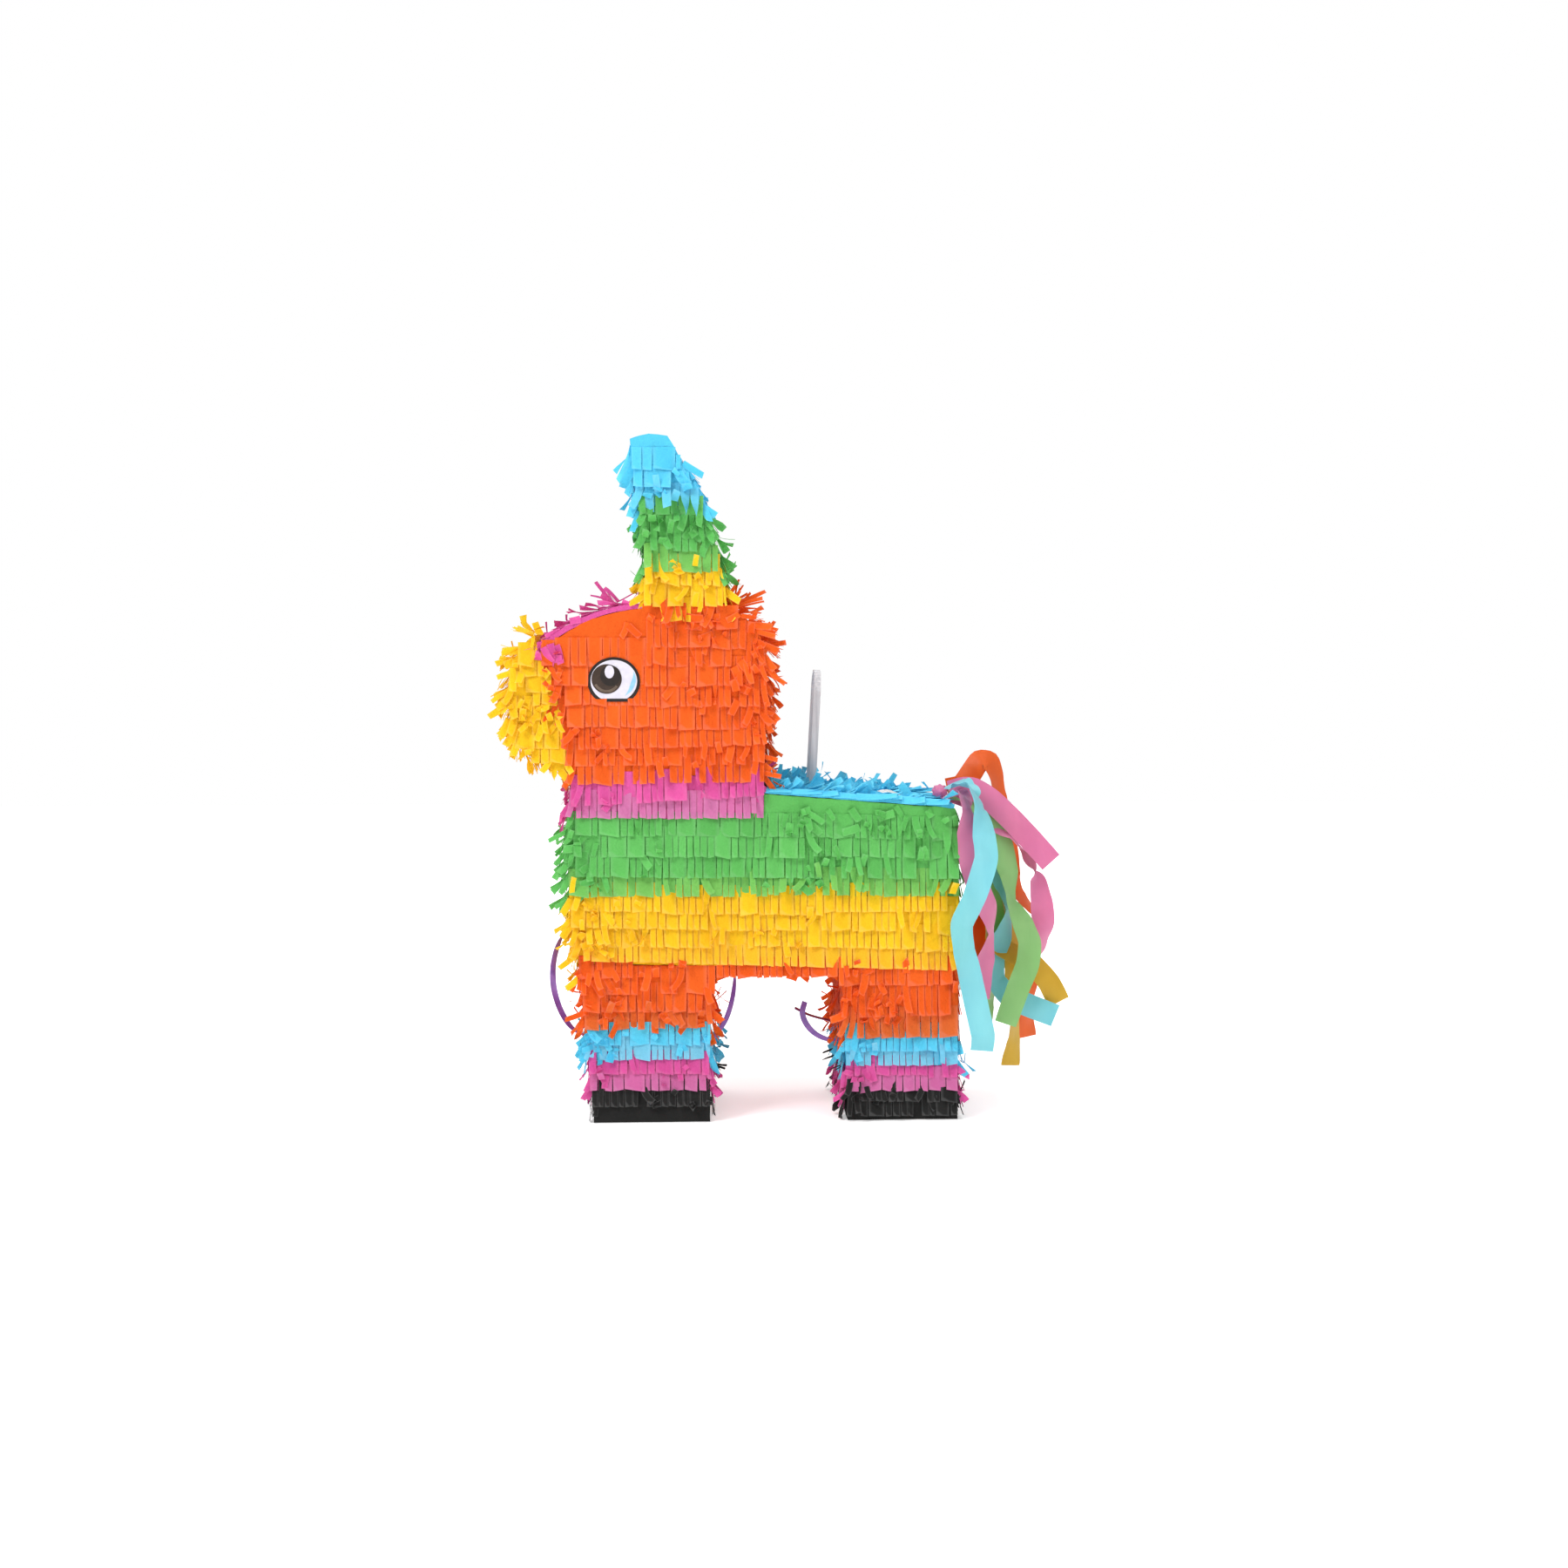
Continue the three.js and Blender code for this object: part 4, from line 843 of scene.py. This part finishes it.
def addTuft(tabs, rng, node, at, aim, count, spread, scatter, lengths, widths):
    # a spray of narrow strands from one place, always in the deeper tones as painted shade
    x, z = boxPlace(node, *at)
    aim = Vector((aim[0], 0, aim[1])).normalized()
    for _ in range(count):
        spot = Vector((x + rng.uniform(-1, 1) * spread * mm, rng.uniform(-0.95, 0.3) * halfThick,
                       z + rng.uniform(-1, 1) * spread * mm))
        way = aim + Vector((rng.gauss(0, 1), rng.gauss(0, 0.5), rng.gauss(0, 1))) * scatter
        way = way.normalized()
        across = way.cross(depthways + Vector((rng.gauss(0, 0.6), 0, rng.gauss(0, 0.6)))).normalized()
        hang = hanging(0, rng.uniform(-30, 30), rng.uniform(-14, 14), rng.uniform(-60, 60))
        # the deeper tone stands in for the shade among the strands
        addTab(tabs, rng, spot, way, across, across.cross(way), rng.uniform(*widths) * mm, rng.uniform(*lengths) * mm,
               hang, tone=rng.uniform(0.6, 1))


# rows: lowest first, each its tips' height above the band's lowest point, tilt, first and last share, wildness;
# scraps: patch across and up in shares of the band's box, count, aim, length, width;
# tufts: place in the box, aim, count, spread, scatter, length, width; all lengths in mm, all angles in degrees
bands = {
    "earBlueFringe": {
        "node": "ear_blue_paper", "wild": 0.3, "edgeWild": 0.2,
        "edgePitch": 15, "edgeLean": 8, "tabWidth": (5.2, 8.6), "plainAbove": 46, "bareTop": True,
        "rows": [(-5, -6), (12, -3), (28, 0)], "thin": 0.35,
        "flare": {"angle": (-4, 42), "share": 0.85, "length": (13, 24), "width": (4, 8)},
        "scraps": [((0.2, 0.85), (0.25, 0.6), 7, (-35, 60), (12, 20), (5, 9))]},
    "earGreenFringe": {
        "node": "ear_green_paper", "wild": 0.35, "edgeWild": 0.4,
        "edgePitch": 14, "edgeLean": 8, "tabWidth": (4.8, 7.6), "rows": [(-3, 0), (12, 0), (27, 0), (40, 0)],
        "flare": {"angle": (0, 55), "share": 0.7, "length": (9, 17)},
        "scraps": [((0.1, 0.95), (0.4, 0.95), 12, (-60, 75), (9, 16))]},
    "earYellowFringe": {
        "node": "ear_yellow_paper", "wild": 0.3, "edgeWild": 0.35,
        "edgeLean": 9, "rows": [(-14, 0, 0.2, 0.72), (-3, 0), (11, 0)], "thin": 0,
        "scraps": [((0.1, 0.95), (0.5, 1.2), 8, (-40, 40), (9, 15))]},
    "headOrangeFringe": {
        "node": "head_orange_paper", "wild": 0.12, "edgeWild": 0.5,
        "edgeLean": 15, "rows": [(-6, 0.5), (8, 0), (22, 1), (37, 0), (54, 0), (71, 0), (86, 0),
                                 (100, 0, 0.42, 1, 0.3), (114, 0, 0.38, 1, 0.8)],
        "thin": 0, "flare": {"angle": (12, 95), "share": 0.8, "length": (11, 19), "width": (3.4, 6.2)},
        "scraps": [((0.38, 0.97), (0.78, 0.95), 16, (-80, 80), (9, 15)),
                   ((0.03, 0.12), (0.3, 0.82), 12, (-70, 30), (9, 15)),
                   ((0.55, 0.72), (0.42, 0.58), 5, (-70, 80), (10, 16)),
                   ((0.85, 0.97), (0.2, 0.8), 12, (-50, 80), (9, 15)),
                   ((0.12, 0.3), (0.05, 0.3), 6, (-60, 60), (9, 14))],
        "tufts": [((0.835, 0.965), (0.72, 0.68), 15, 5, 0.42, (17, 30),
                   (1.3, 4)),
                  ((0.95, 0.8), (1, 0.25), 10, 8, 0.4, (14, 23),
                   (2, 4.6))]},
    "noseMagentaFringe": {
        "node": "nose_magenta_paper", "wild": 0.2, "edgeWild": 0.3,
        "edgeLean": 5, "rows": [], "flare": {"angle": (-12, 32), "share": 0.4, "length": (8, 13)},
        "scraps": [((0.0, 0.2), (0.02, 0.26), 9, (-14, 26), (11, 18))],
        "tufts": [((0.72, 0.99), (-0.2, 1), 5, 3, 0.5, (16, 25),
                   (1, 5))]},
    "muzzleYellowFringe": {
        "node": "muzzle_yellow_paper", "wild": 0.45, "edgeWild": 0.6,
        "edgePitch": 11, "edgeLean": 16, "tabWidth": (4.6, 7.4),
        "rows": [(-4, 0), (7, 0), (17, 0), (28, 0), (39, 0), (50, 0), (61, 0), (72, 0), (83, 0), (94, 0)], "thin": 0,
        "flare": {"angle": (0, 60), "share": 0.85, "length": (11, 20), "width": (4, 7.4)},
        "scraps": [((0.0, 0.8), (0.1, 1.0), 22, (-55, 30), (10, 18))]},
    "collarFringe": {
        "node": "collar_magenta_paper", "wild": 0.03, "edgeWild": 0.25,
        "rows": [(-0.5, 0), (13.5, 3)], "thin": 1, "flare": {"angle": (10, 70), "share": 0.7, "length": (9, 15)},
        "scraps": [((0.15, 0.24), (0.4, 0.75), 3, (-80, 80), (9, 13))],
        "tufts": [((1.0, 0.92), (0.75, 0.65), 5, 3, 0.3, (10, 18),
                   (1, 3.4))]},
    "bodyGreenFringe": {
        "node": "body_green_paper", "wild": 0.13, "edgeWild": 0.5,
        "edgeLean": 14, "calmRump": True, "plainAbove": 66,
        "rows": [(1, -0.4), (15, -0.6), (31, -0.8), (47, -1, 0, 0.6), (47, -1, 0.6, 1, 0.7)],
        "flare": {"angle": (5, 62), "share": 0.85, "length": (11, 19)},
        "scraps": [((0.52, 0.97), (0.66, 0.88), 20, (-80, 80), (9, 15)),
                   ((0.0, 0.1), (0.1, 0.65), 12, (-75, 30), (10, 16)),
                   ((0.19, 0.25), (0.25, 0.6), 4, (-50, 60), (11, 16)),
                   ((0.5, 0.64), (0.1, 0.32), 6, (-60, 60), (9, 14))]},
    "bodyYellowFringe": {
        "node": "body_yellow_paper", "wild": 0.09, "edgeWild": 0.45,
        "edgeLean": 14, "calmRump": True, "rows": [(4.2, -1.8), (18.6, -1.5), (32, -0.9), (46.8, -0.3)],
        "flare": {"angle": (0, 66), "share": 0.85, "length": (11, 18)},
        "scraps": [((0.0, 0.2), (0.3, 1.0), 20, (-75, 45), (10, 17)),
                   ((0.48, 0.62), (0.35, 0.7), 5, (-50, 60), (9, 14))]},
    "bellyOrangeFringe": {
        "node": "belly_orange_paper", "wild": 0.06, "edgeWild": 0.1,
        "edgeLean": 5, "rows": [(4.5, 0)], "level": 6, "thin": 0},
    "frontLegOrangeFringe": {
        "node": "front_leg_orange_paper", "wild": 0.22, "edgeWild": 0.5,
        "edgeLean": 13, "rows": [(2.6, 0), (15.7, 0), (31, 0), (45, 0)], "flare": {"share": 0.8},
        "scraps": [((0.0, 0.32), (0.15, 0.95), 18, (-70, 50), (10, 17)),
                   ((0.4, 1.0), (0.15, 0.4), 8, (-55, 40), (10, 15)),
                   ((0.05, 0.95), (0.85, 1.0), 4, (172, 190), (10, 15))]},
    "frontLegBlueFringe": {
        "node": "front_leg_blue_paper", "wild": 0.22, "edgeWild": 0.5,
        "edgeLean": 13, "rows": [(0.9, 0), (12.6, 0)], "flare": {"share": 0.8, "angle": (10, 75)},
        "scraps": [((0.0, 0.3), (0.4, 1.1), 10, (-70, 50), (9, 15)),
                   ((0.4, 1.0), (0.5, 1.1), 5, (-50, 40), (9, 14))]},
    "frontLegMagentaFringe": {
        "node": "front_leg_magenta_paper", "wild": 0.15, "edgeWild": 0.3,
        "edgeLean": 9, "rows": [(0, 0), (13, 0)], "flare": {"share": 0.5},
        "scraps": [((0.02, 0.2), (0.5, 1.2), 4, (-40, 40), (10, 15)),
                   ((0.6, 0.9), (0.5, 0.9), 3, (-60, 60), (9, 14))]},
    "frontHoofFringe": {
        "node": "front_leg_black_paper", "wild": 0.15, "edgeWild": 0.35,
        "edgeLean": 8, "rows": [(9, 0)], "thin": 0, "toFloor": True, "quietBelow": 13,
        "flare": {"share": 0.6, "length": (6, 11)},
        "scraps": [((0.55, 1.0), (0.6, 1.3), 6, (-60, 70), (8, 13))],
        "tufts": [((1.02, 1.7), (1, -0.2), 6, 5, 0.35, (7, 13),
                   (0.8, 2))]},
    "rearLegOrangeFringe": {
        "node": "rear_leg_orange_paper", "wild": 0.14, "edgeWild": 0.45,
        "edgeLean": 13, "calmRump": True, "rows": [(-3, 0), (14.6, 0), (38, 0)], "flare": {"share": 0.8},
        "scraps": [((0.0, 0.42), (0.25, 1.0), 20, (-70, 60), (10, 17)),
                   ((0.4, 0.6), (0.2, 0.5), 4, (-50, 40), (10, 15)),
                   ((0.0, 0.6), (0.85, 1.0), 4, (172, 190), (10, 15))]},
    "rearLegBlueFringe": {
        "node": "rear_leg_blue_paper", "wild": 0.2, "edgeWild": 0.45,
        "edgeLean": 12, "rows": [(-0.7, 0), (11, 0)], "flare": {"share": 0.75, "angle": (10, 75)},
        "scraps": [((0.0, 0.3), (0.3, 1.2), 9, (-60, 60), (9, 16))]},
    "rearLegMagentaFringe": {
        "node": "rear_leg_magenta_paper", "wild": 0.15, "edgeWild": 0.4,
        "edgeLean": 10, "rows": [(-0.6, 0), (10, 0)], "flare": {"share": 0.7},
        "scraps": [((0.0, 0.25), (0.4, 1.2), 6, (-50, 50), (9, 15))]},
    "rearHoofFringe": {
        "node": "rear_leg_black_paper", "wild": 0.2, "edgeWild": 0.45,
        "edgeLean": 9, "rows": [(0.5, 0), (11, 0)], "thin": 0, "toFloor": True, "quietBelow": 13,
        "flare": {"share": 0.8, "length": (6, 12)},
        "scraps": [((0.1, 1.0), (0.5, 1.1), 8, (-60, 60), (8, 13))],
        "tufts": [((-0.02, 1.7), (-1, -0.25), 7, 6, 0.35, (7, 13),
                   (0.8, 2))]},
}


def makeBands():
    for name, band in bands.items():
        rng = random.Random(name)
        tabs = []
        low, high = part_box(band["node"])
        plain = band.get("plainAbove", (high.z - low.z) / mm + paper["overlap"]) - paper["overlap"]
        tips = [row[0] for row in band["rows"]] + [plain]
        for index, row in enumerate(band["rows"]):
            for side in (-1, 1):
                above = next((tip for tip in tips[index + 1:] if tip > row[0]), plain)
                sideRow(tabs, rng, band, side, row, min(above, row[0] + paper["rowMost"]))
        for run in outlineRuns(band["node"]):
            edgeRows(tabs, rng, band, run)
        for patch in band.get("scraps", []):
            addScraps(tabs, rng, band, *patch)
        for tuft in band.get("tufts", []):
            addTuft(tabs, rng, band["node"], *tuft)
        paperPiece(name, band, tabs)
        print(name, len(tabs), "tabs")


makeBands()
print("fringe made")

backPaper = frame["nodes"]["back_blue_paper"].data
backFront = max((v.co for v in backPaper.vertices), key=lambda c: c.z).copy()
backRear = max((v.co for v in backPaper.vertices), key=lambda c: c.x * 4 + c.z).copy()
backAlong = Vector((backRear.x - backFront.x, 0, backRear.z - backFront.z)).normalized()
backOut = Vector((-backAlong.z, 0, backAlong.x))
doorLow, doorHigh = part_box("door_blue_paper")
labelLow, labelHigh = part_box("back_label")
backFringe = {
    "node": "back_blue_paper", "pitch": 13, "wild": 0.6, "lean": 14,
    "length": (15, 24), "tabWidth": (5.2, 8.6), "gaps": 0.2, "standing": 90, "standingLength": (9, 17),
    "edging": (18, 34), "edgingTilt": (38, 66), "hingeRoom": (24, 22),
    "tufts": [((0.05, 1.0), (0.35, 0.9), 12, 6, 0.5, (9, 17),
               (3, 6))]}
doorFringe = dict(backFringe, node="door_blue_paper", standing=60, edging=None, tufts=[], stopsAt=doorHigh.x)


def byHinge(x, y, reach):
    return abs(x - doorHigh.x) < reach * mm and abs(y) < doorHigh.y + 5 * mm


def backRows(band, covers, rng):
    # rows across the back whose tabs point to the tail, scraps standing among them and a strip along both edges
    tabs = []
    total = (backRear - backFront).length
    start = Vector((backFront.x, 0, backFront.z))
    distance = 3 * mm
    while distance < total - 6 * mm:
        spot = start + backAlong * distance
        y = -halfThick
        while y < halfThick - 2 * mm:
            width = rng.uniform(*band["tabWidth"]) * mm
            centre = y + width / 2
            y += width
            if not covers(spot.x, centre) or rng.random() < band["gaps"]:
                continue
            hang = tabKind(rng, band["wild"], band["lean"])
            root = spot + depthways * centre + backOut * rng.uniform(0.1, 0.8) * mm
            length = rng.uniform(*band["length"]) * mm
            if byHinge(spot.x, centre, band["hingeRoom"][0]):    # these lie low, so that the open door has room
                hang.update(lean=2, curl=3, sway=0, twist=0, fold=0)
                length = min(length, band.get("stopsAt", length + spot.x) - spot.x)
            addTab(tabs, rng, root, backAlong, -depthways, backOut, width, length, hang, rng.uniform(0, 0.6))
        distance += band["pitch"] * mm
    for _ in range(band["standing"]):
        spot = start + backAlong * rng.uniform(0.02, 0.94) * total + depthways * rng.uniform(-0.93, 0.93) * halfThick
        angle = math.radians(rng.uniform(12, 65) if rng.random() < 0.7 else rng.uniform(115, 165))
        way = backAlong * math.cos(angle) + backOut * math.sin(angle)
        hang = hanging(rng.uniform(-10, 10), rng.uniform(-40, 40), rng.uniform(-30, 30), rng.uniform(-40, 40),
                       rng.choice([0, 0, 100]), 0.6)
        width, length = rng.uniform(4, 7.4) * mm, rng.uniform(*band["standingLength"]) * mm
        if covers(spot.x, spot.y) and not byHinge(spot.x, spot.y, band["hingeRoom"][1]):
            addTab(tabs, rng, spot, way, way.cross(depthways), depthways, width, length, hang, rng.uniform(0, 0.4))
    distance = 1 * mm
    while band["edging"] and distance < total - 8 * mm:
        for side in (-1, 1):
            tilt = math.radians(rng.uniform(*band["edgingTilt"]))
            length = min(rng.uniform(*band["edging"]) * mm, total + 3 * mm - distance)
            out = depthways * side * math.sin(tilt) + backOut * math.cos(tilt)
            root = start + backAlong * distance + depthways * side * (halfThick - 0.4 * mm) + backOut * 0.8 * mm
            hang = hanging(rng.uniform(0, 5), rng.uniform(-6, 20), rng.uniform(-6, 6), rng.uniform(-14, 14))
            addTab(tabs, rng, root, backAlong, out.cross(backAlong), out, rng.uniform(5, 7) * mm, length, hang,
                   tone=0.1, taper=0.3)
        distance += band["edging"][0] * mm
    for tuft in band["tufts"]:
        addTuft(tabs, rng, band["node"], *tuft)
    return tabs


def underLabel(x, y):
    return labelLow.x - 14 * mm < x < labelHigh.x + 4 * mm and labelLow.y - 5 * mm < y < labelHigh.y + 5 * mm


def onDoor(x, y):
    return doorLow.x + 1 * mm < x < doorHigh.x - 4 * mm and abs(y) < doorHigh.y - 3 * mm and not underLabel(x, y)


def besideDoor(x, y):
    return not (doorLow.x - 16 * mm < x < doorHigh.x + 2 * mm and abs(y) < doorHigh.y + 4 * mm)


paperPiece("backBlueFringe", backFringe, backRows(backFringe, besideDoor, random.Random("back")))
paperPiece("doorBlueFringe", doorFringe, backRows(doorFringe, onDoor, random.Random("door")), body="fill_door")
print("back and door fringe made")

eye = {
    "line": 2.3, "round": 19.0, "irisAt": (-5.6, 0.4), "iris": 11.8, "pupilAt": (-2.6, 3.0), "pupil": 8.0,
    "glintAt": (-3.4, 6.0), "glint": (3.7, 5.1), "arc": (8.6, 10.6, 205, 325), "crescent": (17.2, -60, 26, 0.21),
    "foot": (0.2, 1.3), "top": 1.4, "layer": 0.12,
}


def ovalPoints(centre, radii, count, start=0, end=360):
    turns = [math.radians(start + (end - start) * i / count) for i in range(count + (end - start < 360))]
    return [(centre[0] + radii[0] * math.cos(turn), centre[1] + radii[1] * math.sin(turn)) for turn in turns]


def eyePrint(name, node, side):
    low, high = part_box(node)
    centreX, centreZ = (low.x + high.x) / 2, (low.z + high.z) / 2
    half = ((high.x - low.x) / 2 / mm, (high.z - low.z) / 2 / mm)
    # the printed oval is cut flat below
    rim = [(x, max(z, -half[1])) for x, z in ovalPoints((0, half[1] - eye["round"]), (half[0], eye["round"]), 96)]
    inner = [(x * (1 - eye["line"] / half[0]), (z + 0.2) * (1 - eye["line"] / half[1])) for x, z in rim]
    shapes = [(rim, "eyeLine"), (inner, "eyeWhite")]
    far, first, last, depth = eye["crescent"]
    crescentOuter = ovalPoints((0, 0), (far, far * 0.86), 24, first, last)
    thinned = [1 - depth * math.sin(math.pi * i / 24) for i in range(25)]
    crescentInner = [(x * t, z * t) for (x, z), t in zip(crescentOuter, thinned)]
    shapes.append((crescentOuter + crescentInner[::-1], "eyeBlue"))
    shapes.append((ovalPoints(eye["irisAt"], (eye["iris"], eye["iris"] * 0.98), 48), "eyeIris"))
    arcOuter = ovalPoints(eye["irisAt"], (eye["arc"][1],) * 2, 20, eye["arc"][2], eye["arc"][3])
    arcInner = ovalPoints(eye["irisAt"], (eye["arc"][0],) * 2, 20, eye["arc"][2], eye["arc"][3])
    shapes.append((arcOuter + arcInner[::-1], "eyeArc"))
    shapes.append((ovalPoints(eye["pupilAt"], (eye["pupil"],) * 2, 40), "eyeLine"))
    shapes.append((ovalPoints(eye["glintAt"], eye["glint"], 32), "eyeWhite"))
    names = sorted({finish for outline, finish in shapes})
    points, faces, faceFinish = [], [], []
    for layer, (outline, finish) in enumerate(shapes):
        foot = halfThick + eye["foot"][min(layer, 1)] * mm
        head = halfThick + (eye["top"] + eye["layer"] * layer) * mm
        count, shift = len(outline), len(points)
        for depth in (foot, head):
            points += [(centreX + x * mm, side * depth, centreZ + z * mm) for x, z in outline]
        lowFace = list(range(shift, shift + count))
        topFace = list(range(shift + count, shift + 2 * count))
        area = sum(a[0] * b[1] - b[0] * a[1] for a, b in zip(outline, outline[1:] + outline[:1]))
        forward = (area > 0) == (side < 0)
        layerFaces = [lowFace[::-1], topFace]
        onward = lowFace[1:] + lowFace[:1]
        layerFaces += [[a, b, b + count, a + count] for a, b in zip(lowFace, onward)]
        faces += [f if forward else f[::-1] for f in layerFaces]
        faceFinish += [names.index(finish)] * len(layerFaces)
    makePiece(name, points, faces, names, faceFinish, smooth=False, slot="eye_print", stands=[node])


eyePrint("leftEyePrint", "left_eye", -1)
eyePrint("rightEyePrint", "right_eye", 1)
print("eyes made")

knot = {"folds": 9, "pleat": 0.1, "rings": 26, "round": 36}


def makeKnot():
    low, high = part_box("tail_knot")
    centre, half = (low + high) / 2, (high - low) / 2
    points, faces = [], []
    rings, count = knot["rings"], knot["round"]
    for ring in range(rings + 1):
        t = ring / rings * 2 - 1
        swell = (1 - abs(t) ** 2.6) ** 0.5 * (0.8 + 0.2 * math.cos(t * 9))
        for i in range(count):
            angle = 2 * math.pi * i / count
            pleat = 1 + knot["pleat"] * math.sin(knot["folds"] * angle + 5 * t) * swell
            points.append((centre.x + half.x * swell * pleat * math.cos(angle), centre.y + half.y * t,
                           centre.z + half.z * swell * pleat * math.sin(angle)))
    for ring in range(rings):
        for i in range(count):
            a, b = ring * count + i, ring * count + (i + 1) % count
            faces.append((a, a + count, b + count, b))
    faces += [tuple(range(count)), tuple(range(rings * count, (rings + 1) * count))[::-1]]
    makePiece("tailKnot", points, faces, ["pinkRibbon"], slot="pink_ribbon", stands=["tail_knot"])


label = {"arch": 3.2, "ripple": 0.7, "thickness": 0.3, "columns": 14, "rows": 10}


def makeLabel():
    low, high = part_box("back_label")
    slope = backAlong.z / backAlong.x
    points = []
    for lift in (0, label["thickness"]):
        for i in range(label["columns"] + 1):
            for j in range(label["rows"] + 1):
                u, v = i / label["columns"], j / label["rows"]
                x = low.x + (high.x - low.x) * u
                y = low.y + (high.y - low.y) * v
                ripple = noise.noise(Vector((u * 4, v * 4, 2))) * label["ripple"]
                rise = math.sin(math.pi * u) * label["arch"] + ripple + lift
                points.append((x, y, high.z + slope * (x - low.x) + rise * mm))
    faces = shellFaces(label["columns"] + 1, label["rows"] + 1)
    makePiece("backLabel", points, faces, ["labelWhite"], body="fill_door", slot="label_print", stands=["back_label"])


makeKnot()
makeLabel()
print("knot and label made")

kept = {"hanger_strap": ("clearStrap", "clear_strap")}
for nodeName, node in frame["nodes"].items():
    if node.hide_render:
        continue
    finish, slotName = kept.get(nodeName, ("kraftCard", "kraft_card"))
    node.data.materials.clear()
    node.data.materials.append(finishes[finish])
print("card and strap finished")

# farGlow is the floor's painted glow: from and to distance in metres, then its strength near and far
studio = {
    "floor": 6, "ambient": 0.3, "farGlow": (0.25, 1.2, 0.42, 0.8), "aimsAt": (0.03, 0, 0.25),
    "lamps": {    # place, size and power
        "keyLight": ((-1.5, -1.6, 2.1), 0.9, 40), "fillLight": ((1.7, -1.5, 1.0), 1.8, 7),
        "rimLight": ((0.4, 1.7, 1.8), 1.6, 9), "topLight": ((0.0, -0.2, 2.3), 3.0, 44)},
}
white = (1, 1, 1, 1)


def makeStudio(options):
    half = options["floor"] / 2
    mesh = bpy.data.meshes.new("studioFloor")
    mesh.from_pydata([(-half, -half, 0), (half, -half, 0), (half, half, 0), (-half, half, 0)], [], [(0, 1, 2, 3)])
    material, tree, shader = newFinish("paleGlowingFloor", 0.9, 0.1)
    mottle = spreadValue(tree, objectNoise(tree, 2, 2), 0.3, 0.7, 0, 1)
    colour = blendColours(tree, mottle, hexColour("FCFCFC"), hexColour("F8F8F8"))
    tree.links.new(colour, shader.inputs["Base Color"])
    # the floor glows, a painted light that lifts the shadow under the donkey and grows brighter away from it, as
    # under wide studio light
    place = addNode(tree, "TexCoord")["Object"]
    away = addNode(tree, "VectorMath", [(0, place)], operation="LENGTH")["Value"]
    tree.links.new(spreadValue(tree, away, *options["farGlow"]), shader.inputs["Emission Strength"])
    shader.inputs["Emission Color"].default_value = white
    mesh.materials.append(material)
    floor = bpy.data.objects.new("studioFloor", mesh)
    bpy.context.scene.collection.objects.link(floor)
    world = bpy.data.worlds.new("studioWorld")
    world.use_nodes = True
    tree = world.node_tree
    light = tree.nodes["Background"]
    light.inputs["Color"].default_value = white
    light.inputs["Strength"].default_value = options["ambient"]
    backdrop = addNode(tree, "Background", [("Color", white)])["Background"]
    seen = addNode(tree, "LightPath")["Is Camera Ray"]
    either = addNode(tree, "MixShader", [("Fac", seen), (1, light.outputs["Background"]), (2, backdrop)])["Shader"]
    tree.links.new(either, tree.nodes["World Output"].inputs["Surface"])
    bpy.context.scene.world = world
    for name, (place, size, power) in options["lamps"].items():
        data = bpy.data.lights.new(name, "AREA")
        data.energy = power
        data.size = size
        lamp = bpy.data.objects.new(name, data)
        bpy.context.scene.collection.objects.link(lamp)
        lamp.location = place
        lamp.rotation_euler = (Vector(options["aimsAt"]) - Vector(place)).to_track_quat("-Z", "Y").to_euler()
    bpy.context.scene.view_settings.view_transform = "Standard"


makeStudio(studio)
